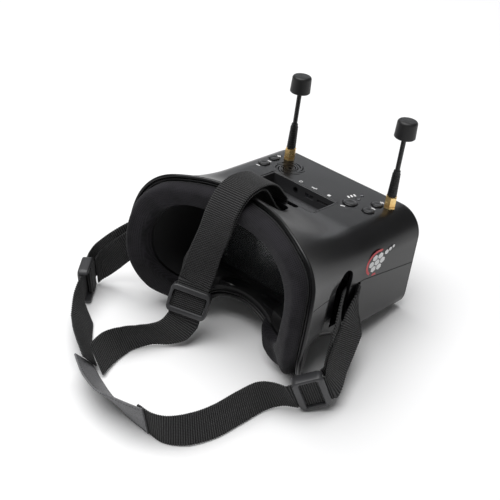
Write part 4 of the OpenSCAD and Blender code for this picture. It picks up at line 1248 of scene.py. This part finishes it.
def make_buttons():
    for node, ((x, y), d) in BUTTONS.items():
        r = d / 2
        profile = [(0, -4.1), (r + 0.7, -4.1), (r + 0.7, -3.4), (r, -3.4), (r, 0.35), (r - 0.12, 0.62),
                   (r - 0.4, 0.84), (r - 0.9, 0.96), (r * 0.6, 1.02), (r * 0.45, 0.93), (r * 0.2, 0.84),
                   (0, 0.82)]
        shown(lathe(node + "_cap", profile, at_housing(x, y)), BUTTON, node, [node], degrees=30)


def mark(outline):
    """A thin printed shape on the flat top."""
    return prism_z([(-0.02, outline), (0.06, outline)], name="mark")


def slanted_bar(x, y, w, h, degrees=0):
    """A printed bar of w by h about (x, y), turned by degrees."""
    c, s = polar((0, 0), 1, degrees)
    bar = rounded_rectangle(-w / 2, w / 2, -h / 2, h / 2, min(w, h) * 0.3, n=3)
    return [(x + px * c - py * s, y + px * s + py * c) for px, py in bar]


def ring_marks(x, y, r, width):
    """A ring in two halves, so that each is a simple outline."""
    parts = []
    for start in (0, 180):
        outer = [polar((x, y), r, start + a) for a in range(8, 173, 15)]
        inner = [polar((x, y), r - width, start + a) for a in range(172, 7, -15)]
        parts.append(mark(outer + inner))
    return parts


def top_marks():
    """Generic symbols: round socket, forked line and card by the ports, bars beside the buttons."""
    edge_y = RECESS_Y[1] + 4.2
    beside = SMALL_D / 2 + 2.3
    (band_x, band_y), (power_x, power_y) = BAND_AT, POWER_AT
    outlines = [slanted_bar(0, edge_y, 4.2, 0.6), slanted_bar(0.8, edge_y + 0.8, 1.8, 0.55, 40),
                slanted_bar(-0.2, edge_y - 0.8, 1.8, 0.55, -40), circle(-2.2, edge_y, 0.75, 16),
                rounded_rectangle(12.8, 15.4, edge_y - 1.3, edge_y + 1.3, 0.4)]
    outlines += [slanted_bar(x, y + beside, 3.6, 1.1) for x, y in SMALL_BUTTONS.values()]
    outlines += [slanted_bar(x, y + beside + 0.02, 1.1, 3.2) for x, y in (CHANNEL_AT, MENU_AT)]
    outlines += [slanted_bar(band_x - 0.3, band_y - 6.8, 3.4, 1.1, 12),
                 slanted_bar(power_x - 0.6, power_y - 8.4, 3.6, 1.1, 25)]
    outlines += [slanted_bar(power_x - 7.2 + 0.6 * k, power_y + 7.5 + 3.1 * k, 3.4, 1.5, -28)
                 for k in range(3)]
    parts = ring_marks(-14, edge_y, 1.5, 0.55) + [mark(outline) for outline in outlines]
    shown(joined("top_symbols", parts), WHITE)


MARK_AT = (-38, -24)
MARK_R = 10.5
MARK_STRETCH = 1.25
RING_W = 1.8
PRINT_T = 0.08


def side_print(outline):
    """A thin printed shape on the right side wall, in y and z."""
    return prism_x([(HALF_W - 0.03, outline), (HALF_W + PRINT_T, outline)], name="print")


def side_marks():
    """An abstract mark: a white honeycomb inside a broken red ring, both stretched along y."""
    def spot(radius, degrees, centre=MARK_AT):
        y, z = polar((0, 0), radius, degrees)
        return (centre[0] + MARK_STRETCH * y, centre[1] + z)

    def hexagon(centre, r):
        return [spot(r, 60 * k + 30, centre) for k in range(6)]

    cells = [(spot(0, 0), 2.6)] + [(spot(5.3, 60 * k), 2.6) for k in range(6)]
    cells += [(spot(10, 32), 2.0), (spot(13.6, 29), 1.6), (spot(16.8, 27), 1.3)]
    white = [side_print(hexagon(centre, r)) for centre, r in cells]
    red = []
    for start, end in ((68, 232), (252, 276)):
        outer = [spot(MARK_R, a) for a in range(start, end + 1, 4)]
        inner = [spot(MARK_R - RING_W, a) for a in range(end - 4, start + 3, -4)]
        red.append(side_print(outer + inner))
    shown(joined("side_print_white", white), WHITE)
    shown(joined("side_print_red", red), RED)


# ---------- the whole ----------

make_camera()
make_studio()
finish_cad_nodes()
upper_shell()
lower_shell()
front_cover()
rim_bead()
face_plate()
light_hood()
face_foam()
hook_loop_strip()
make_straps()
make_buckles()
rear_patch()
make_buttons()
top_marks()
side_marks()
